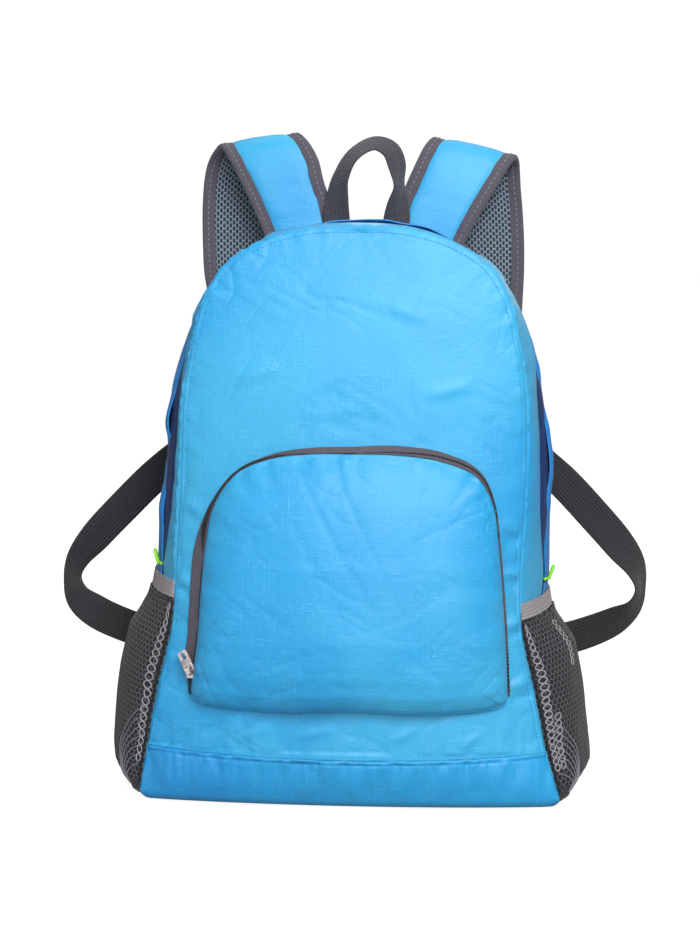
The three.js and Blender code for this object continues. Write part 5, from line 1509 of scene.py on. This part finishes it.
def make_main_slider(side):
    """Slider at one end of the main zip, with its soft green pull."""
    label = "left" if side < 0 else "right"
    row = ZIP_ROW + SLIDER_ROWS[0 if side < 0 else 1]
    end = row if side < 0 else 2 * TOP - row
    share = np.interp(end, SLOT_ROWS, SLOT_SHARE) + np.interp(end, SLOT_ROWS, SLOT_WIDTHS) / BASE_DEPTH / 2
    us = np.array([row, row + SLIDER_STEP])
    us = us if side < 0 else 2 * TOP - us
    base, ahead = gusset(us, share)
    along = (ahead - base) / np.linalg.norm(ahead - base)
    out = outward(us)[0]
    out = out - along * np.dot(out, along)
    out /= np.linalg.norm(out)
    wide = np.cross(along, out)
    rear = wide * np.sign(wide[1])
    ways = (wide, along, out)
    body = block(f"slider_{label}", SLIDER_BODY, base - out * BODY_SINK, ways, 0.8, zip_metal)
    crown = block("crown", SLIDER_CROWN, base - out * CROWN_SINK, ways, 0.7, zip_metal)
    dress(joined(body, crown), "bag", "zip_metal", f"main_slider_{label}")
    foot = base + out * PULL_OUT[0 if side < 0 else 1] + rear * PULL_REAR + along * PULL_UP
    reach = foot - base
    length = np.linalg.norm(reach)
    way = reach / length
    face = out - way * np.dot(out, way)
    face /= np.linalg.norm(face)
    neck_size = (PULL_NECK[0], length, PULL_NECK[1])
    neck_ways = (np.cross(way, face), way, face)
    neck = block(f"green_pull_{label}", neck_size, base + reach / 2, neck_ways, 0.5, green_soft)
    lean = out * math.sin(PULL_LEAN) + along * math.cos(PULL_LEAN)
    grip_ways = (wide, lean, np.cross(wide, lean))
    grip = block("grip", PULL_GRIP, foot + lean * PULL_GRIP[1] * 0.42, grip_ways, 1.1, green_soft)
    dress(joined(neck, grip), "bag", "green_pull", f"zip_pull_{label}")


def keep_with(name, material):
    """Gives a solid that keeps its shape its finished material."""
    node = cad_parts[name]
    node.data.materials.clear()
    node.data.materials.append(material)


make_front_panel()
make_gussets()
make_side_panel(-1)
make_side_panel(1)
make_back_panel()
make_base()
make_side_pocket(-1, MOUTH_LEFT)
make_side_pocket(1, MOUTH_RIGHT)
make_front_pocket()
make_pocket_zip()
for strap_side in (-1, 1):
    make_strap(strap_side)
    make_webbing_loop(strap_side)
    make_main_slider(strap_side)
make_handle()
make_seam_stitches()
for node_name in ("pocket_slider", "pocket_pull"):
    keep_with(node_name, zip_metal)
for node_name in ("ladder_lock_left", "ladder_lock_right"):
    keep_with(node_name, black_plastic)


# Studio


def make_floor():
    """A white floor that stays as pale as the background."""
    bpy.ops.object.select_all(action="DESELECT")
    bpy.ops.mesh.primitive_plane_add(size=30, location=(0, 0, -0.0005))
    floor = bpy.context.active_object
    floor.name = "floor"
    material, nodes, shader, _ = start_material("Pale floor", 0.9)
    shader["Base Color"].default_value = (0.35, 0.35, 0.35, 1)
    shader["Emission Color"].default_value = (1, 1, 1, 1)
    seen = nodes.add("ShaderNodeLightPath").outputs["Is Camera Ray"]
    nodes.put(nodes.math("MULTIPLY", seen, FLOOR_GLOW), shader["Emission Strength"])
    floor.data.materials.append(material)


def add_light(name, place, target, size, power):
    data = bpy.data.lights.new(name, "AREA")
    data.shape = "RECTANGLE"
    data.size, data.size_y = size
    data.energy = power
    light = bpy.data.objects.new(name, data)
    bpy.context.scene.collection.objects.link(light)
    light.location = place
    light.rotation_euler = (Vector(target) - Vector(place)).to_track_quat("-Z", "Y").to_euler()


def make_studio():
    """White surroundings that light the bag less than the camera sees them, and soft lamps."""
    make_floor()
    world = bpy.data.worlds.new("Studio")
    bpy.context.scene.world = world
    world.use_nodes = True
    nodes = Nodes(world.node_tree)
    back = world.node_tree.nodes["Background"]
    back.inputs["Color"].default_value = (1, 1, 1, 1)
    seen = nodes.add("ShaderNodeLightPath").outputs["Is Camera Ray"]
    nodes.put(nodes.range(seen, 0.0, 1.0, AMBIENT, 1.05, False), back.inputs["Strength"])
    add_light("key", (0.45, -1.20, 1.15), (0, 0, 0.22), (0.6, 0.5), 19)
    add_light("front", (0.30, -2.2, 0.95), (0, 0, 0.18), (0.9, 0.9), 20)
    add_light("fill", (-1.5, -1.5, 0.7), (0, 0, 0.25), (1.2, 1.2), 6)
    add_light("rear", (0.3, 2.2, 1.0), (0, 0, 0.2), (1.2, 1.2), 10)
    add_light("top", (0.1, 0.5, 1.9), (0, 0, 0.35), (1.4, 0.9), 8)
    bpy.context.scene.view_settings.view_transform = "Standard"


def make_camera():
    yaw, pitch, roll = CAMERA_YAW, CAMERA_PITCH, CAMERA_ROLL
    ahead = Vector((-math.sin(yaw) * math.cos(pitch), math.cos(yaw) * math.cos(pitch), -math.sin(pitch)))
    right = Vector((math.cos(yaw), math.sin(yaw), 0))
    up = right.cross(ahead)
    turned_right = right * math.cos(roll) + up * math.sin(roll)
    turned_up = up * math.cos(roll) - right * math.sin(roll)
    across = CAMERA_X + CAMERA_DISTANCE * math.sin(yaw)
    place = Vector((across, -CAMERA_DISTANCE * math.cos(yaw), CAMERA_HEIGHT))
    place = (place + Vector((SHIFT_X, SHIFT_Y, 0))) * MM
    data = bpy.data.cameras.new("photo")
    data.sensor_fit = "VERTICAL"
    data.sensor_height = SENSOR
    data.lens = FOCAL_PIXELS / PHOTO_HEIGHT * SENSOR
    camera = bpy.data.objects.new("photo", data)
    bpy.context.scene.collection.objects.link(camera)
    turn = Matrix((turned_right, turned_up, -ahead)).transposed()
    camera.matrix_world = Matrix.Translation(place) @ turn.to_4x4()
    bpy.context.scene.camera = camera


make_studio()
make_camera()
